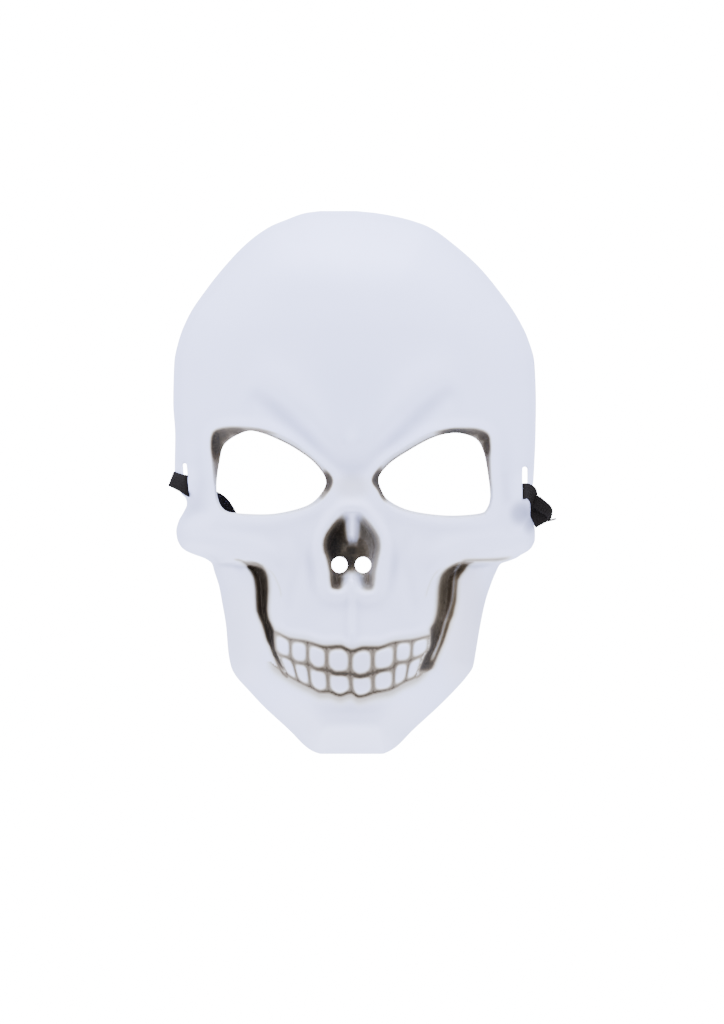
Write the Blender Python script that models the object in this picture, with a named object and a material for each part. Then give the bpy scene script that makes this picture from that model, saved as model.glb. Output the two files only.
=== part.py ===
"""Moulded plastic skull mask on an elastic strap, lying face up on its rim. Metres, +Z out of the face."""
import math

import bmesh
import bpy
import numpy as np
from mathutils import Vector, geometry

MM = 0.001
# sizes of the mask, in metres
MASK_WIDTH = 0.1671
MASK_HEIGHT = 0.2500
MASK_DEPTH = 0.0800
WALL = 0.0015
VIEW_HEIGHT = 1.5000
MIDLINE_OFFSET = 0.00069
VIEW_CENTRE = np.array((0.0041, -0.0136))
RIM_LIFT = 0.0070
STRAP_SLOT_LENGTH = 0.0150
STRAP_SLOT_WIDTH = 0.0026
NOSTRIL_DIAMETER = 0.0078
NOSE_DEPTH = 0.0150
SOCKET_DEPTH = 0.0070
CHEEK_DROP = 0.0055
TOOTH_RELIEF = 0.0016
FORM_BLEND = 0.0090
RIM_CALM = 0.0070
ARCH_CALM = 0.0140

# sizes of the relief, in metres
BROW_RISE = 0.0018
BROW_SLOPE_ABOVE = 0.0140
BROW_SLOPE_BELOW = 0.0045
BROW_HOLLOW_PLACE = 0.0085
BROW_HOLLOW_BREADTH = 0.0055
SOCKET_LIP_RISE = 0.0022
SOCKET_LIP_BREADTH = 0.0042
SOCKET_LEDGE = 0.0012
SOCKET_LEDGE_FULL = 0.0022
NOSE_LIP_RISE = 0.0024
NOSE_LIP_BREADTH = 0.0036
NOSE_LIP_PLACE = 0.0022
NOSE_WALL = 0.0036
NOSE_WALL_START = 0.0003
SPIKE_HALF = 0.0027
SPIKE_TIP = 0.0013
SPINE_HALF = 0.0016
SPINE_FOOT = 0.0040
SPINE_HEIGHT = 0.0080
MIDLINE_RISE = 0.0011
MIDLINE_HALF = 0.0016
CHEEK_RISE = 0.0030
CHEEK_SWELL = 0.0120
CHEEK_EDGE_BREADTH = 0.0022
JAW_RECOVERY = 0.0260
HOLLOW_INNER_EDGE = 0.0020
HOLLOW_OUTER_EDGE = 0.0024
HOLLOW_START = 0.0008
GUM_RISE = 0.0009
GUM_PLACE = 0.0024
GUM_BREADTH = 0.0026

OUTLINE = (  # up, left reach, right reach
    (1, 0.0909, 0.0083), (0.9963, 0.1322, 0.0634), (0.9853, 0.1791, 0.146), (0.9705, 0.2314, 0.2094),
    (0.9411, 0.292, 0.2727), (0.8969, 0.3554, 0.3471), (0.8527, 0.4077, 0.4022),
    (0.8085, 0.4518, 0.449), (0.7643, 0.4793, 0.4821), (0.7201, 0.4931, 0.5), (0.6464, 0.4959, 0.5041),
    (0.5875, 0.4904, 0.5028), (0.5212, 0.4917, 0.4986), (0.5046, 0.4898, 0.497),
    (0.4899, 0.4835, 0.4942), (0.4788, 0.4725, 0.4915), (0.4696, 0.4601, 0.4893),
    (0.4604, 0.4579, 0.4882), (0.4475, 0.4656, 0.4893), (0.4291, 0.4807, 0.4959),
    (0.4107, 0.4876, 0.5014), (0.3959, 0.4848, 0.5014), (0.3812, 0.4738, 0.4931),
    (0.3738, 0.4601, 0.4821), (0.3665, 0.4353, 0.4628), (0.361, 0.4118, 0.4504),
    (0.3554, 0.3967, 0.4298), (0.3499, 0.3884, 0.4063), (0.337, 0.3829, 0.3953),
    (0.3076, 0.3691, 0.3774), (0.2781, 0.3609, 0.3636), (0.2339, 0.3499, 0.3499),
    (0.1897, 0.3444, 0.3388), (0.1602, 0.3361, 0.3306), (0.1455, 0.3251, 0.3168),
    (0.116, 0.2865, 0.2782), (0.0866, 0.2452, 0.2342), (0.0424, 0.1736, 0.1625),
    (0.0129, 0.1295, 0.1185), (0.0037, 0.1074, 0.0964), (0, 0.0909, 0.0826),
)
EYE_LEFT = (  # across, up
    (-0.2953, 0.5937), (-0.3523, 0.5716), (-0.3678, 0.5378), (-0.376, 0.4956), (-0.3705, 0.4659),
    (-0.3523, 0.4486), (-0.3176, 0.4436), (-0.2449, 0.4416), (-0.1879, 0.4459), (-0.1245, 0.4586),
    (-0.0898, 0.4786), (-0.0752, 0.5046), (-0.1058, 0.5357), (-0.1562, 0.561), (-0.2036, 0.5779),
    (-0.2512, 0.5906),
)
EYE_RIGHT = (  # across, up
    (0.0711, 0.5088), (0.0986, 0.5335), (0.1466, 0.5558), (0.2132, 0.5805), (0.2647, 0.5902),
    (0.3052, 0.589), (0.3421, 0.5779), (0.3606, 0.5532), (0.3716, 0.5138), (0.3774, 0.4744),
    (0.368, 0.4521), (0.346, 0.4429), (0.2573, 0.4394), (0.1579, 0.4484), (0.0986, 0.467),
    (0.0785, 0.4862),
)
SOCKET_LEFT = (  # across, up
    (-0.2975, 0.6022), (-0.3444, 0.6022), (-0.3777, 0.5971), (-0.3904, 0.5856), (-0.3926, 0.5635),
    (-0.3871, 0.5322), (-0.3815, 0.4954), (-0.376, 0.4641), (-0.3567, 0.4448), (-0.3176, 0.4392),
    (-0.2449, 0.4372), (-0.186, 0.4411), (-0.1212, 0.453), (-0.0771, 0.4733), (-0.0551, 0.5046),
    (-0.0909, 0.5341), (-0.1488, 0.5672), (-0.1983, 0.5866), (-0.2507, 0.5985),
)
SOCKET_RIGHT = (  # across, up
    (0.0515, 0.5068), (0.0854, 0.5378), (0.1377, 0.5626), (0.2066, 0.5893), (0.2603, 0.5989),
    (0.3052, 0.6007), (0.3471, 0.5982), (0.3733, 0.5884), (0.3788, 0.5654), (0.3774, 0.5414),
    (0.3788, 0.512), (0.3837, 0.4744), (0.3736, 0.4484), (0.3488, 0.4374), (0.2573, 0.4346),
    (0.1551, 0.4435), (0.0909, 0.4622), (0.0675, 0.4843),
)
NOSE_CAVITY = (  # across, up
    (-0.0028, 0.4466), (-0.0275, 0.4438), (-0.0551, 0.4254), (-0.0785, 0.4015), (-0.0832, 0.3794),
    (-0.073, 0.3573), (-0.0661, 0.3352), (-0.0639, 0.3168), (-0.0579, 0.3048), (-0.0358, 0.3029),
    (-0.0193, 0.3131), (-0.0041, 0.326), (0.011, 0.3131), (0.0275, 0.302), (0.0523, 0.3029),
    (0.0592, 0.3149), (0.062, 0.3352), (0.0689, 0.3573), (0.0752, 0.3812), (0.0689, 0.4033),
    (0.0441, 0.4273), (0.022, 0.4438),
)
CHEEK_EDGE_LEFT = (  # across, up
    (-0.4986, 0.3849), (-0.4683, 0.3775), (-0.4408, 0.3683), (-0.4132, 0.3619), (-0.3939, 0.3573),
    (-0.3333, 0.3573), (-0.2782, 0.3508), (-0.2488, 0.3455), (-0.2259, 0.3352), (-0.2121, 0.3241),
    (-0.2022, 0.3076), (-0.1983, 0.2891),
)
CHEEK_EDGE_RIGHT = (  # across, up
    (0.5152, 0.3886), (0.4876, 0.3775), (0.4656, 0.3674), (0.4463, 0.361), (0.405, 0.3573),
    (0.3499, 0.3573), (0.2975, 0.3554), (0.2672, 0.349), (0.2424, 0.337), (0.2204, 0.3223),
    (0.2066, 0.3057), (0.1983, 0.2873),
)
SLOT_LEFT = (  # up, outer edge, inner edge, depth
    (0.3573, -0.3168, -0.2837, 0.025), (0.3517, -0.3058, -0.259, 0.075),
    (0.3462, -0.2948, -0.2466, 0.113), (0.3352, -0.281, -0.2369, 0.163),
    (0.3204, -0.2719, -0.2314, 0.188), (0.302, -0.2686, -0.2298, 0.2), (0.2836, -0.2672, -0.2314, 0.2),
    (0.2652, -0.2656, -0.2328, 0.188), (0.2505, -0.259, -0.23, 0.175),
    (0.2376, -0.2512, -0.2218, 0.163), (0.2247, -0.2452, -0.2149, 0.163),
    (0.2099, -0.2388, -0.2149, 0.15), (0.1952, -0.2287, -0.2135, 0.125),
    (0.1805, -0.2204, -0.2052, 0.1), (0.1657, -0.208, -0.1956, 0.075),
    (0.1492, -0.1928, -0.1818, 0.037),
)
SLOT_RIGHT = (  # up, outer edge, inner edge, depth
    (0.3582, 0.3499, 0.3113, 0.025), (0.3517, 0.3306, 0.281, 0.075), (0.3462, 0.3168, 0.2658, 0.113),
    (0.3389, 0.3099, 0.2507, 0.15), (0.3297, 0.2989, 0.241, 0.175), (0.3186, 0.2906, 0.2355, 0.188),
    (0.302, 0.2882, 0.2314, 0.2), (0.2836, 0.2865, 0.23, 0.2), (0.2689, 0.2824, 0.2287, 0.188),
    (0.256, 0.2782, 0.2259, 0.175), (0.2431, 0.27, 0.2204, 0.163), (0.2284, 0.2631, 0.2107, 0.163),
    (0.2173, 0.2576, 0.2107, 0.163), (0.2063, 0.2521, 0.211, 0.15), (0.1952, 0.2452, 0.208, 0.138),
    (0.1805, 0.2355, 0.1956, 0.113), (0.1694, 0.2287, 0.1887, 0.1), (0.1584, 0.2212, 0.1818, 0.075),
    (0.1455, 0.1956, 0.1763, 0.037),
)
GUM_UPPER = (  # across, up
    (-0.2507, 0.2339), (-0.2135, 0.2239), (-0.1727, 0.2116), (-0.1287, 0.2066), (-0.0733, 0.1969),
    (-0.0364, 0.198), (-0.003, 0.1901), (0.03, 0.1956), (0.0669, 0.1956), (0.1149, 0.2053),
    (0.1628, 0.2092), (0.2072, 0.2166), (0.2397, 0.2247),
)
BITE = (  # across, up
    (-0.2507, 0.1952), (-0.2096, 0.1845), (-0.1766, 0.1759), (-0.1543, 0.1685), (-0.1212, 0.1646),
    (-0.0992, 0.1562), (-0.0733, 0.1549), (-0.0438, 0.1475), (-0.0105, 0.1475), (0.019, 0.1425),
    (0.0523, 0.1486), (0.0708, 0.1525), (0.1039, 0.1573), (0.1223, 0.1672), (0.1518, 0.1709),
    (0.1887, 0.182), (0.2072, 0.1893), (0.2397, 0.1989),
)
GUM_LOWER = (  # across, up
    (-0.2287, 0.1694), (-0.1876, 0.1486), (-0.1581, 0.1363), (-0.1174, 0.1228), (-0.0879, 0.1142),
    (-0.0694, 0.1142), (-0.0364, 0.1079), (-0.0069, 0.1129), (0.0154, 0.1055), (0.0595, 0.1129),
    (0.1039, 0.1192), (0.1408, 0.1326), (0.1777, 0.1438), (0.2176, 0.1694),
)
GAPS_UPPER = (  # across at top, up, across at foot, up
    (-0.2171, 0.2228, -0.2132, 0.1851), (-0.1727, 0.2118, -0.1719, 0.175),
    (-0.1253, 0.2063, -0.1253, 0.1657), (-0.0733, 0.1971, -0.0727, 0.1547),
    (-0.0066, 0.1915, -0.0083, 0.1473), (0.054, 0.1952, 0.054, 0.1486),
    (0.1168, 0.2053, 0.1146, 0.1639), (0.1628, 0.2092, 0.1587, 0.1722),
    (0.2102, 0.2173, 0.2052, 0.1878),
)
GAPS_LOWER = (  # across at top, up, across at foot, up
    (-0.2061, 0.1796, -0.1832, 0.1455), (-0.1672, 0.1746, -0.1507, 0.1344),
    (-0.1248, 0.1646, -0.1174, 0.1228), (-0.0713, 0.1525, -0.0678, 0.1142),
    (-0.0085, 0.1449, -0.003, 0.1114), (0.054, 0.1449, 0.0559, 0.1123),
    (0.1132, 0.1628, 0.1113, 0.1215), (0.1537, 0.1696, 0.1444, 0.1326), (0.1942, 0.182, 0.1722, 0.1418),
)
# dome under all the features: rows from above the crown to below the chin
DOME = (  # up, depth, half width, fullness
    (1.02, 0.22, 0.310, 2.2), (1.0, 0.40, 0.335, 2.2), (0.97, 0.56, 0.375, 2.2), (0.94, 0.665, 0.410, 2.2),
    (0.90, 0.775, 0.445, 2.15), (0.85, 0.850, 0.470, 2.1), (0.78, 0.912, 0.502, 2.1),
    (0.69, 0.945, 0.520, 2.1), (0.60, 0.950, 0.524, 2.1), (0.50, 0.935, 0.524, 2.1),
    (0.40, 0.945, 0.524, 2.2), (0.375, 0.950, 0.505, 2.3), (0.345, 0.955, 0.455, 2.5),
    (0.28, 0.965, 0.420, 2.6), (0.19, 0.970, 0.405, 2.5), (0.12, 0.950, 0.375, 2.3),
    (0.05, 0.900, 0.315, 2.2), (-0.02, 0.800, 0.270, 2.2),
)
# how far in the wall from the rim reaches full depth
RIM_WALL = (  # up, reach in shares of the height
    (1.0, 0.200), (0.9, 0.230), (0.75, 0.290), (0.6, 0.310), (0.48, 0.270), (0.41, 0.170), (0.375, 0.110),
    (0.345, 0.120), (0.25, 0.140), (0.15, 0.130), (0.08, 0.100), (0.0, 0.085),
)
# the temples, where the rim lifts clear for the strap
RIM_ARCH = (  # side, up, half length
    (-1, 0.490, 0.052), (1, 0.474, 0.056),
)
# the slots the strap is tied through
STRAP_SLOTS = (  # side, across, up, lean
    (-1, -0.4604, 0.5055, 0.080), (1, 0.4729, 0.4991, 0.0),
)
NOSTRILS = (  # across, up
    (-0.0375, 0.3484), (0.0273, 0.3481),
)
BROW_CREST = (  # across, up
    (-0.360, 0.664), (-0.300, 0.682), (-0.255, 0.686), (-0.190, 0.664), (-0.105, 0.612), (-0.045, 0.575),
    (-0.006, 0.562), (0.030, 0.575), (0.100, 0.614), (0.185, 0.668), (0.250, 0.692), (0.300, 0.688),
    (0.355, 0.670),
)
# soft hills and dips over the dome: across, up, reaches, and rise as a share of the depth
HILLS = (  # name, across, up, reach across, reach up, rise
    ("nasal bones", -0.003, 0.470, 0.0449, 0.0480, 0.0425),
    ("dip above them", -0.003, 0.515, 0.0718, 0.0260, -0.0575),
    ("between the brows", -0.004, 0.575, 0.0180, 0.0200, 0.0125),
    ("left of the nose", -0.112, 0.345, 0.0203, 0.0360, -0.0188),
    ("right of the nose", 0.112, 0.345, 0.0203, 0.0360, -0.0188),
    ("mouth", -0.003, 0.185, 0.2274, 0.0960, 0.0400),
    ("dip below the lip", -0.003, 0.085, 0.1795, 0.0200, -0.0250),
    ("chin", -0.008, 0.035, 0.1017, 0.0320, 0.0250),
)


def curve(rows, column, at):
    """Read one column of a table smoothly at the first column's value."""
    table = np.array(sorted(row for row in rows), dtype=float)
    xs, ys = table[:, 0], table[:, column]
    steps = np.diff(xs)
    slopes = np.diff(ys) / steps
    bends = np.zeros(len(xs))
    both = slopes[:-1] * slopes[1:]
    total = slopes[:-1] + slopes[1:]
    safe = np.where(np.abs(total) < 1e-12, 1.0, total)
    bends[1:-1] = np.where(both > 0, 2 * both / safe, 0)
    bends[0], bends[-1] = slopes[0], slopes[-1]
    i = np.clip(np.searchsorted(xs, at) - 1, 0, len(steps) - 1)
    t = np.clip((at - xs[i]) / steps[i], 0, 1)
    low = (1 + 2 * t) * (1 - t) ** 2 * ys[i] + t * (1 - t) ** 2 * steps[i] * bends[i]
    high = t * t * (3 - 2 * t) * ys[i + 1] + t * t * (t - 1) * steps[i] * bends[i + 1]
    return low + high


def placed(rows):
    """Shares of the mask's width and height into metres on the plan."""
    table = np.array(rows, dtype=float)[:, :2]
    return table * (MASK_WIDTH, MASK_HEIGHT) - (0, MASK_HEIGHT / 2)


def rounded(points, closed=True, steps=5):
    """Smooth curve through the points."""
    count = len(points)
    out = []
    for i in range(count if closed else count - 1):
        if closed:
            a, b, c, d = (points[(i + k) % count] for k in (-1, 0, 1, 2))
        else:
            a, b, c, d = (points[min(max(i + k, 0), count - 1)] for k in (-1, 0, 1, 2))
        for t in np.arange(steps) / steps:
            cubic = (3 * b - a - 3 * c + d) * t ** 3
            out.append(0.5 * (2 * b + (c - a) * t + (2 * a - 5 * b + 4 * c - d) * t * t + cubic))
    if not closed:
        out.append(points[-1])
    return np.array(out)


def walked(points, spacing, closed=True):
    """The same curve with even steps."""
    line = np.vstack([points, points[:1]]) if closed else points
    cuts = np.concatenate([[0], np.cumsum(np.hypot(*np.diff(line, axis=0).T))])
    count = max(int(round(cuts[-1] / spacing)), 6)
    at = np.linspace(0, cuts[-1], count + 1)
    even = np.column_stack([np.interp(at, cuts, line[:, 0]), np.interp(at, cuts, line[:, 1])])
    return even[:-1] if closed else even


def distance(line, x, y, closed=False):
    """Distance to a curve, and the share of its length at the nearest place."""
    line = np.vstack([line, line[:1]]) if closed else line
    lengths = np.hypot(*np.diff(line, axis=0).T)
    cuts = np.concatenate([[0], np.cumsum(lengths)])
    best = np.full(np.shape(x), 1e9)
    share = np.zeros(np.shape(x))
    for start, end, length, cut in zip(line[:-1], line[1:], lengths, cuts):
        along = end - start
        t = np.clip(((x - start[0]) * along[0] + (y - start[1]) * along[1]) / (along @ along + 1e-18), 0, 1)
        gap = np.hypot(x - start[0] - t * along[0], y - start[1] - t * along[1])
        closer = gap < best
        best = np.where(closer, gap, best)
        share = np.where(closer, (cut + t * length) / cuts[-1], share)
    return best, share


def within(loop, x, y):
    """Whether the places lie inside a closed curve."""
    inside = np.zeros(np.shape(x), dtype=bool)
    for start, end in zip(loop, np.roll(loop, -1, axis=0)):
        crosses = (start[1] > y) != (end[1] > y)
        run = (end[0] - start[0]) * (y - start[1])
        rise = end[1] - start[1]
        at = start[0] + run / (rise if abs(rise) > 1e-12 else 1e-12)
        inside ^= crosses & (x < at)
    return inside


def signed(loop, x, y):
    """Distance to a closed curve, negative inside it."""
    gap, _ = distance(loop, x, y, closed=True)
    return np.where(within(loop, x, y), -gap, gap)


def ease(low, high, value):
    """From 0 to 1 without a corner."""
    t = np.clip((value - low) / (high - low), 0, 1)
    return t * t * (3 - 2 * t)


def bump(gap, breadth):
    """A rounded ridge over a distance."""
    return np.exp(-(gap / breadth) ** 2)


def lesser(a, b, blend):
    """The smaller of two heights with a rounded join."""
    h = np.clip(0.5 + 0.5 * (b - a) / blend, 0, 1)
    return b * (1 - h) + a * h - blend * h * (1 - h)


def outline_loop():
    """The rim in plan, down the left side and up the right."""
    ups = np.array([row[0] for row in OUTLINE])
    fine = np.concatenate([np.linspace(a, b, 6)[:-1] for a, b in zip(ups[:-1], ups[1:])] + [ups[-1:]])
    left = np.column_stack([-curve(OUTLINE, 1, fine), fine])
    right = np.column_stack([curve(OUTLINE, 2, fine), fine])[::-1]
    return placed(np.vstack([left, right]))


LOOPS = {
    "outline": outline_loop(),
    "eye_left": rounded(placed(EYE_LEFT)),
    "eye_right": rounded(placed(EYE_RIGHT)),
    "socket_left": rounded(placed(SOCKET_LEFT)),
    "socket_right": rounded(placed(SOCKET_RIGHT)),
    "nose": rounded(placed(NOSE_CAVITY)),
}
CREST = rounded(placed(BROW_CREST), False)
CHEEK_EDGE = (rounded(placed(CHEEK_EDGE_LEFT), False), rounded(placed(CHEEK_EDGE_RIGHT), False))


def spot(across, up):
    """One place on the plan."""
    return across * MASK_WIDTH, (up - 0.5) * MASK_HEIGHT


def hill_height(x, y):
    """Soft oval hills and dips over the dome."""
    rise = np.zeros(np.shape(x))
    for name, across, up, reach_across, reach_up, height in HILLS:
        cx, cy = spot(across, up)
        far = ((x - cx) / (reach_across * MASK_WIDTH)) ** 2 + ((y - cy) / (reach_up * MASK_HEIGHT)) ** 2
        rise += height * MASK_DEPTH * np.exp(-far)
    return rise


def dome_height(x, y):
    """The plain dome of the face."""
    up = y / MASK_HEIGHT + 0.5
    half = curve(DOME, 2, up) * MASK_WIDTH
    q = np.clip(np.abs(x) / half, 0, 1.2)
    return curve(DOME, 1, up) * MASK_DEPTH * (1 - q ** curve(DOME, 3, up))


def brow_height(x, y):
    """Crests that run down to the root of the nose, with a hollow below each."""
    gap, _ = distance(CREST, x, y)
    gap = np.where(y < np.interp(x, *sorted_line(CREST)), gap, -gap)
    fade = 1 - ease(0.20, 0.33, np.abs(x) / MASK_WIDTH)
    slope = np.where(gap > 0, BROW_SLOPE_BELOW, BROW_SLOPE_ABOVE)
    return fade * BROW_RISE * (bump(gap, slope) - bump(gap - BROW_HOLLOW_PLACE, BROW_HOLLOW_BREADTH))


def sorted_line(line):
    order = np.argsort(line[:, 0])
    return line[order, 0], line[order, 1]


def socket_height(x, y):
    """Raised lips round the sockets, and the sockets that dive to the openings."""
    rise = np.zeros(np.shape(x))
    for side in ("left", "right"):
        gap = signed(LOOPS["socket_" + side], x, y)
        top = ease(-0.02, 0.03, (y / MASK_HEIGHT + 0.5) - 0.5)
        lip = SOCKET_LIP_RISE * (0.45 + 0.55 * top)
        rise += np.where(gap > 0, lip * bump(gap, SOCKET_LIP_BREADTH * (1.4 - 0.4 * top)), lip)
        hole = signed(LOOPS["eye_" + side], x, y)
        span = np.maximum(-gap + np.maximum(hole, 0), SOCKET_LEDGE)
        inward = np.clip(-gap / span, 0, 1)
        room = np.clip((-gap + np.maximum(hole, 0)) / SOCKET_LEDGE_FULL, 0.25, 1)
        rise -= np.where(gap < 0, SOCKET_DEPTH * room * (1 - (1 - inward) ** 2), 0)
    return rise


def nose_height(x, y):
    """Nasal bones, the raised lip, the cavity with its upper spike, and the ridge below."""
    up = y / MASK_HEIGHT + 0.5
    cavity = signed(LOOPS["nose"], x, y)
    rise = NOSE_LIP_RISE * np.where(cavity > 0, bump(cavity - NOSE_LIP_PLACE, NOSE_LIP_BREADTH), 0)
    floor = NOSE_DEPTH * ease(NOSE_WALL_START, -NOSE_WALL, cavity)
    cx, top = spot(-0.003, 0.447)
    tip = spot(-0.005, 0.392)[1]
    share = np.clip((top - y) / (top - tip), 0, 1.15)
    half = SPIKE_HALF * np.sqrt(np.clip(1.05 - share, 0, 1)) + SPIKE_TIP
    spike = bump(x - cx, half) * (1 - ease(0.8, 1.15, share))
    floor *= 1 - 0.93 * np.where(y < top + SPIKE_HALF, spike, 1.0)
    cx, foot = spot(-0.005, 0.326)
    share = np.clip((y - foot) / SPINE_HEIGHT, 0, 1)
    width = SPINE_HALF + SPINE_FOOT * (1 - share) ** 1.5
    spine = bump(x - cx, width) * (1 - ease(-0.2, 1.0, (y - foot) / SPINE_HEIGHT))
    floor *= 1 - 0.6 * spine
    rise -= floor
    below = np.where(up < 0.318, 1.0, 0.0) * ease(0.195, 0.225, up)
    return rise + MIDLINE_RISE * below * bump(x - spot(-0.003, 0)[0], MIDLINE_HALF)


def cheek_height(x, y):
    """Cheek bones with a crisp lower edge, the drop to the jaw and the pockets."""
    rise = np.zeros(np.shape(x))
    for side, edge in zip((-1, 1), CHEEK_EDGE):
        gap, _ = distance(edge, x, y)
        foot = [[edge[-1][0], -MASK_HEIGHT], [side * MASK_WIDTH, -MASK_HEIGHT]]
        corners = foot + [[side * MASK_WIDTH, edge[0][1]]]
        below = within(np.vstack([edge, corners]), x, y)
        fade = ease(0.196, 0.262, np.abs(x) / MASK_WIDTH)
        drop = np.where(below, ease(0, CHEEK_EDGE_BREADTH, gap), 0)
        outward = ease(0.08, 0.30, np.abs(x) / MASK_WIDTH)
        swell = np.where(below, 1 - drop, bump(gap, CHEEK_SWELL))
        rise += CHEEK_RISE * outward * fade * swell
        rise -= CHEEK_DROP * fade * drop * bump(gap, JAW_RECOVERY)
    return rise


def hollow_height(x, y):
    """The dark hollows between jaw and teeth."""
    up = y / MASK_HEIGHT + 0.5
    rise = np.zeros(np.shape(x))
    for side, rows in ((-1, SLOT_LEFT), (1, SLOT_RIGHT)):
        first, last = rows[0][0], rows[-1][0]
        outer = curve(rows, 1, up) * MASK_WIDTH
        inner = curve(rows, 2, up) * MASK_WIDTH
        share = (x - inner) / (outer - inner)
        span = np.abs(outer - inner)
        soft_in = ease(-HOLLOW_START, HOLLOW_INNER_EDGE, share * span)
        soft_out = ease(-HOLLOW_START, HOLLOW_OUTER_EDGE, (1 - share) * span)
        ends = ease(last - 0.006, last + 0.02, up) * (1 - ease(first - 0.002, first + 0.004, up))
        rise -= curve(rows, 3, up) * MASK_DEPTH * soft_in * soft_out * ends
    return rise


def tooth_cells(x, y):
    """Place inside a tooth: across and down shares from -1 to 1, row, and number."""
    across = x / MASK_WIDTH
    up = y / MASK_HEIGHT + 0.5
    gum = curve(GUM_UPPER, 1, across)
    bite = curve(BITE, 1, across)
    low = curve(GUM_LOWER, 1, across)
    cell_a = np.full(np.shape(x), 9.0)
    cell_b = np.full(np.shape(x), 9.0)
    number = np.full(np.shape(x), -1)
    for row, (gaps, top, foot) in enumerate(((GAPS_UPPER, gum, bite), (GAPS_LOWER, bite, low))):
        down = (top - up) / (top - foot)
        here = (down >= -0.25) & (down <= 1.25)
        edges = [a + (c - a) * np.clip(down, 0, 1) for a, b, c, d in gaps]
        for i, (left, right) in enumerate(zip(edges[:-1], edges[1:])):
            inside = here & (across >= left) & (across < right) & (down >= 0) & (down <= 1)
            cell_a = np.where(inside, 2 * (across - left) / (right - left) - 1, cell_a)
            cell_b = np.where(inside, 2 * down - 1, cell_b)
            number = np.where(inside, row * 8 + i, number)
    return cell_a, cell_b, number


def teeth_height(x, y):
    """Each tooth as a pillow between grooves, and the gums' edge beside them."""
    a, b, number = tooth_cells(x, y)
    r = (np.abs(a) ** 3.2 + np.abs(b) ** 3.2) ** (1 / 3.2)
    pillow = np.where(number >= 0, 1 - ease(0.52, 1.0, r) ** 1.2, 0)
    rise = TOOTH_RELIEF * pillow
    across = x / MASK_WIDTH
    up = y / MASK_HEIGHT + 0.5
    gum = curve(GUM_UPPER, 1, across)
    low = curve(GUM_LOWER, 1, across)
    gum_gap = np.minimum(np.abs(up - gum), np.abs(up - low)) * MASK_HEIGHT
    side_fade = 1 - ease(0.20, 0.235, np.abs(across + 0.003))
    rise += side_fade * GUM_RISE * np.where(number < 0, bump(gum_gap - GUM_PLACE, GUM_BREADTH), 0)
    return rise


def rim_lift(x, y):
    """How far the rim stands off the ground."""
    up = y / MASK_HEIGHT + 0.5
    lift = np.zeros(np.shape(x))
    for side, middle, half in RIM_ARCH:
        share = np.clip(np.abs(up - middle) / half, 0, 1)
        lift = np.where(x * side > 0, RIM_LIFT * (1 - share ** 2) ** 2, lift)
    return lift


def face_height(x, y):
    """Height of the mask's outer face over a place on the plan."""
    up = y / MASK_HEIGHT + 0.5
    inward = np.maximum(-signed(LOOPS["outline"], x, y), 0)
    reach = curve(RIM_WALL, 1, up) * MASK_HEIGHT
    wall = 1.08 * MASK_DEPTH * (1 - (1 - np.clip(inward / reach, 0, 1)) ** 2.3)
    form = np.maximum(lesser(dome_height(x, y), wall, FORM_BLEND), 0)
    detail = brow_height(x, y) + socket_height(x, y) + nose_height(x, y)
    detail += cheek_height(x, y) + hollow_height(x, y) + teeth_height(x, y) + hill_height(x, y)
    lift = rim_lift(x, y) * (1 - ease(0, ARCH_CALM, inward))
    return np.maximum(form + detail * ease(0, RIM_CALM, inward), 0) + lift


# sizes of the elastic, in metres
BAND_WIDTH = 0.0080
BAND_THICK = 0.0008
PIECE_GAP = 0.0003
KNOT_LENGTH = 0.0100
KNOT_BREADTH = 0.0085
KNOT_HEIGHT = 0.0060
TAIL_LENGTH = 0.0065
LOOP_HEIGHT = 0.0080
LEFT_LOOP_PLACE = -0.0024
RIGHT_LOOP_PLACE = -0.0026

# the band's section, as shares of its width and thickness
BAND_SECTION = (  # across, out
    (-0.5, -0.3), (-0.44, -0.5), (0.44, -0.5), (0.5, -0.3), (0.5, 0.3), (0.44, 0.5), (-0.44, 0.5), (-0.5, 0.3),
)

# spacing of the mesh, in metres
RIM_STEP = 0.0033
HOLE_STEP = 0.0024
PLAIN_STEP = 0.0064
DETAIL_STEP = 0.00245
HOLE_DETAIL = 0.0020
NOSE_DETAIL = 0.0030
GUM_DETAIL = 0.0045
EDGE_DETAIL = 0.0015
NOSE_ROWS = (-0.0003, 0.0017, 0.0037)
EDGE_ROW = 0.0023
RIM_CLEAR = 0.0034
RIM_PROBE = 0.0002
LEAST_HEIGHT = 0.0004

# the strap behind the mask, from the left tie to the right one, lying on the ground
BAND_ROUTE = (  # across, up, height above the ground in band thicknesses
    (-0.4030, 0.4718, 3.2), (-0.3860, 0.4690, 2.4), (-0.3636, 0.4593, 1.5), (-0.3408, 0.4350, 0.9),
    (-0.3209, 0.3996, 0.9), (-0.3030, 0.3573, 0.9), (-0.2782, 0.3020, 0.9), (-0.2342, 0.2284, 0.9),
    (-0.1680, 0.1584, 0.9), (-0.0854, 0.1123, 0.9), (0.0000, 0.0958, 0.9), (0.0854, 0.1123, 0.9),
    (0.1625, 0.1584, 0.9), (0.2287, 0.2284, 0.9), (0.2810, 0.3020, 0.9), (0.3223, 0.3628, 0.9),
    (0.3747, 0.4125, 1), (0.4353, 0.4457, 1.5), (0.4898, 0.4595, 2.2),
)


def to_space(points, heights):
    """Plan places drawn in towards the view axis with their height, as the eye sees them."""
    shrink = 1 - np.asarray(heights) / VIEW_HEIGHT
    flat = VIEW_CENTRE + (np.asarray(points) - VIEW_CENTRE) * shrink[:, None]
    return np.column_stack([flat[:, 0] - MIDLINE_OFFSET, flat[:, 1], heights])


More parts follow.
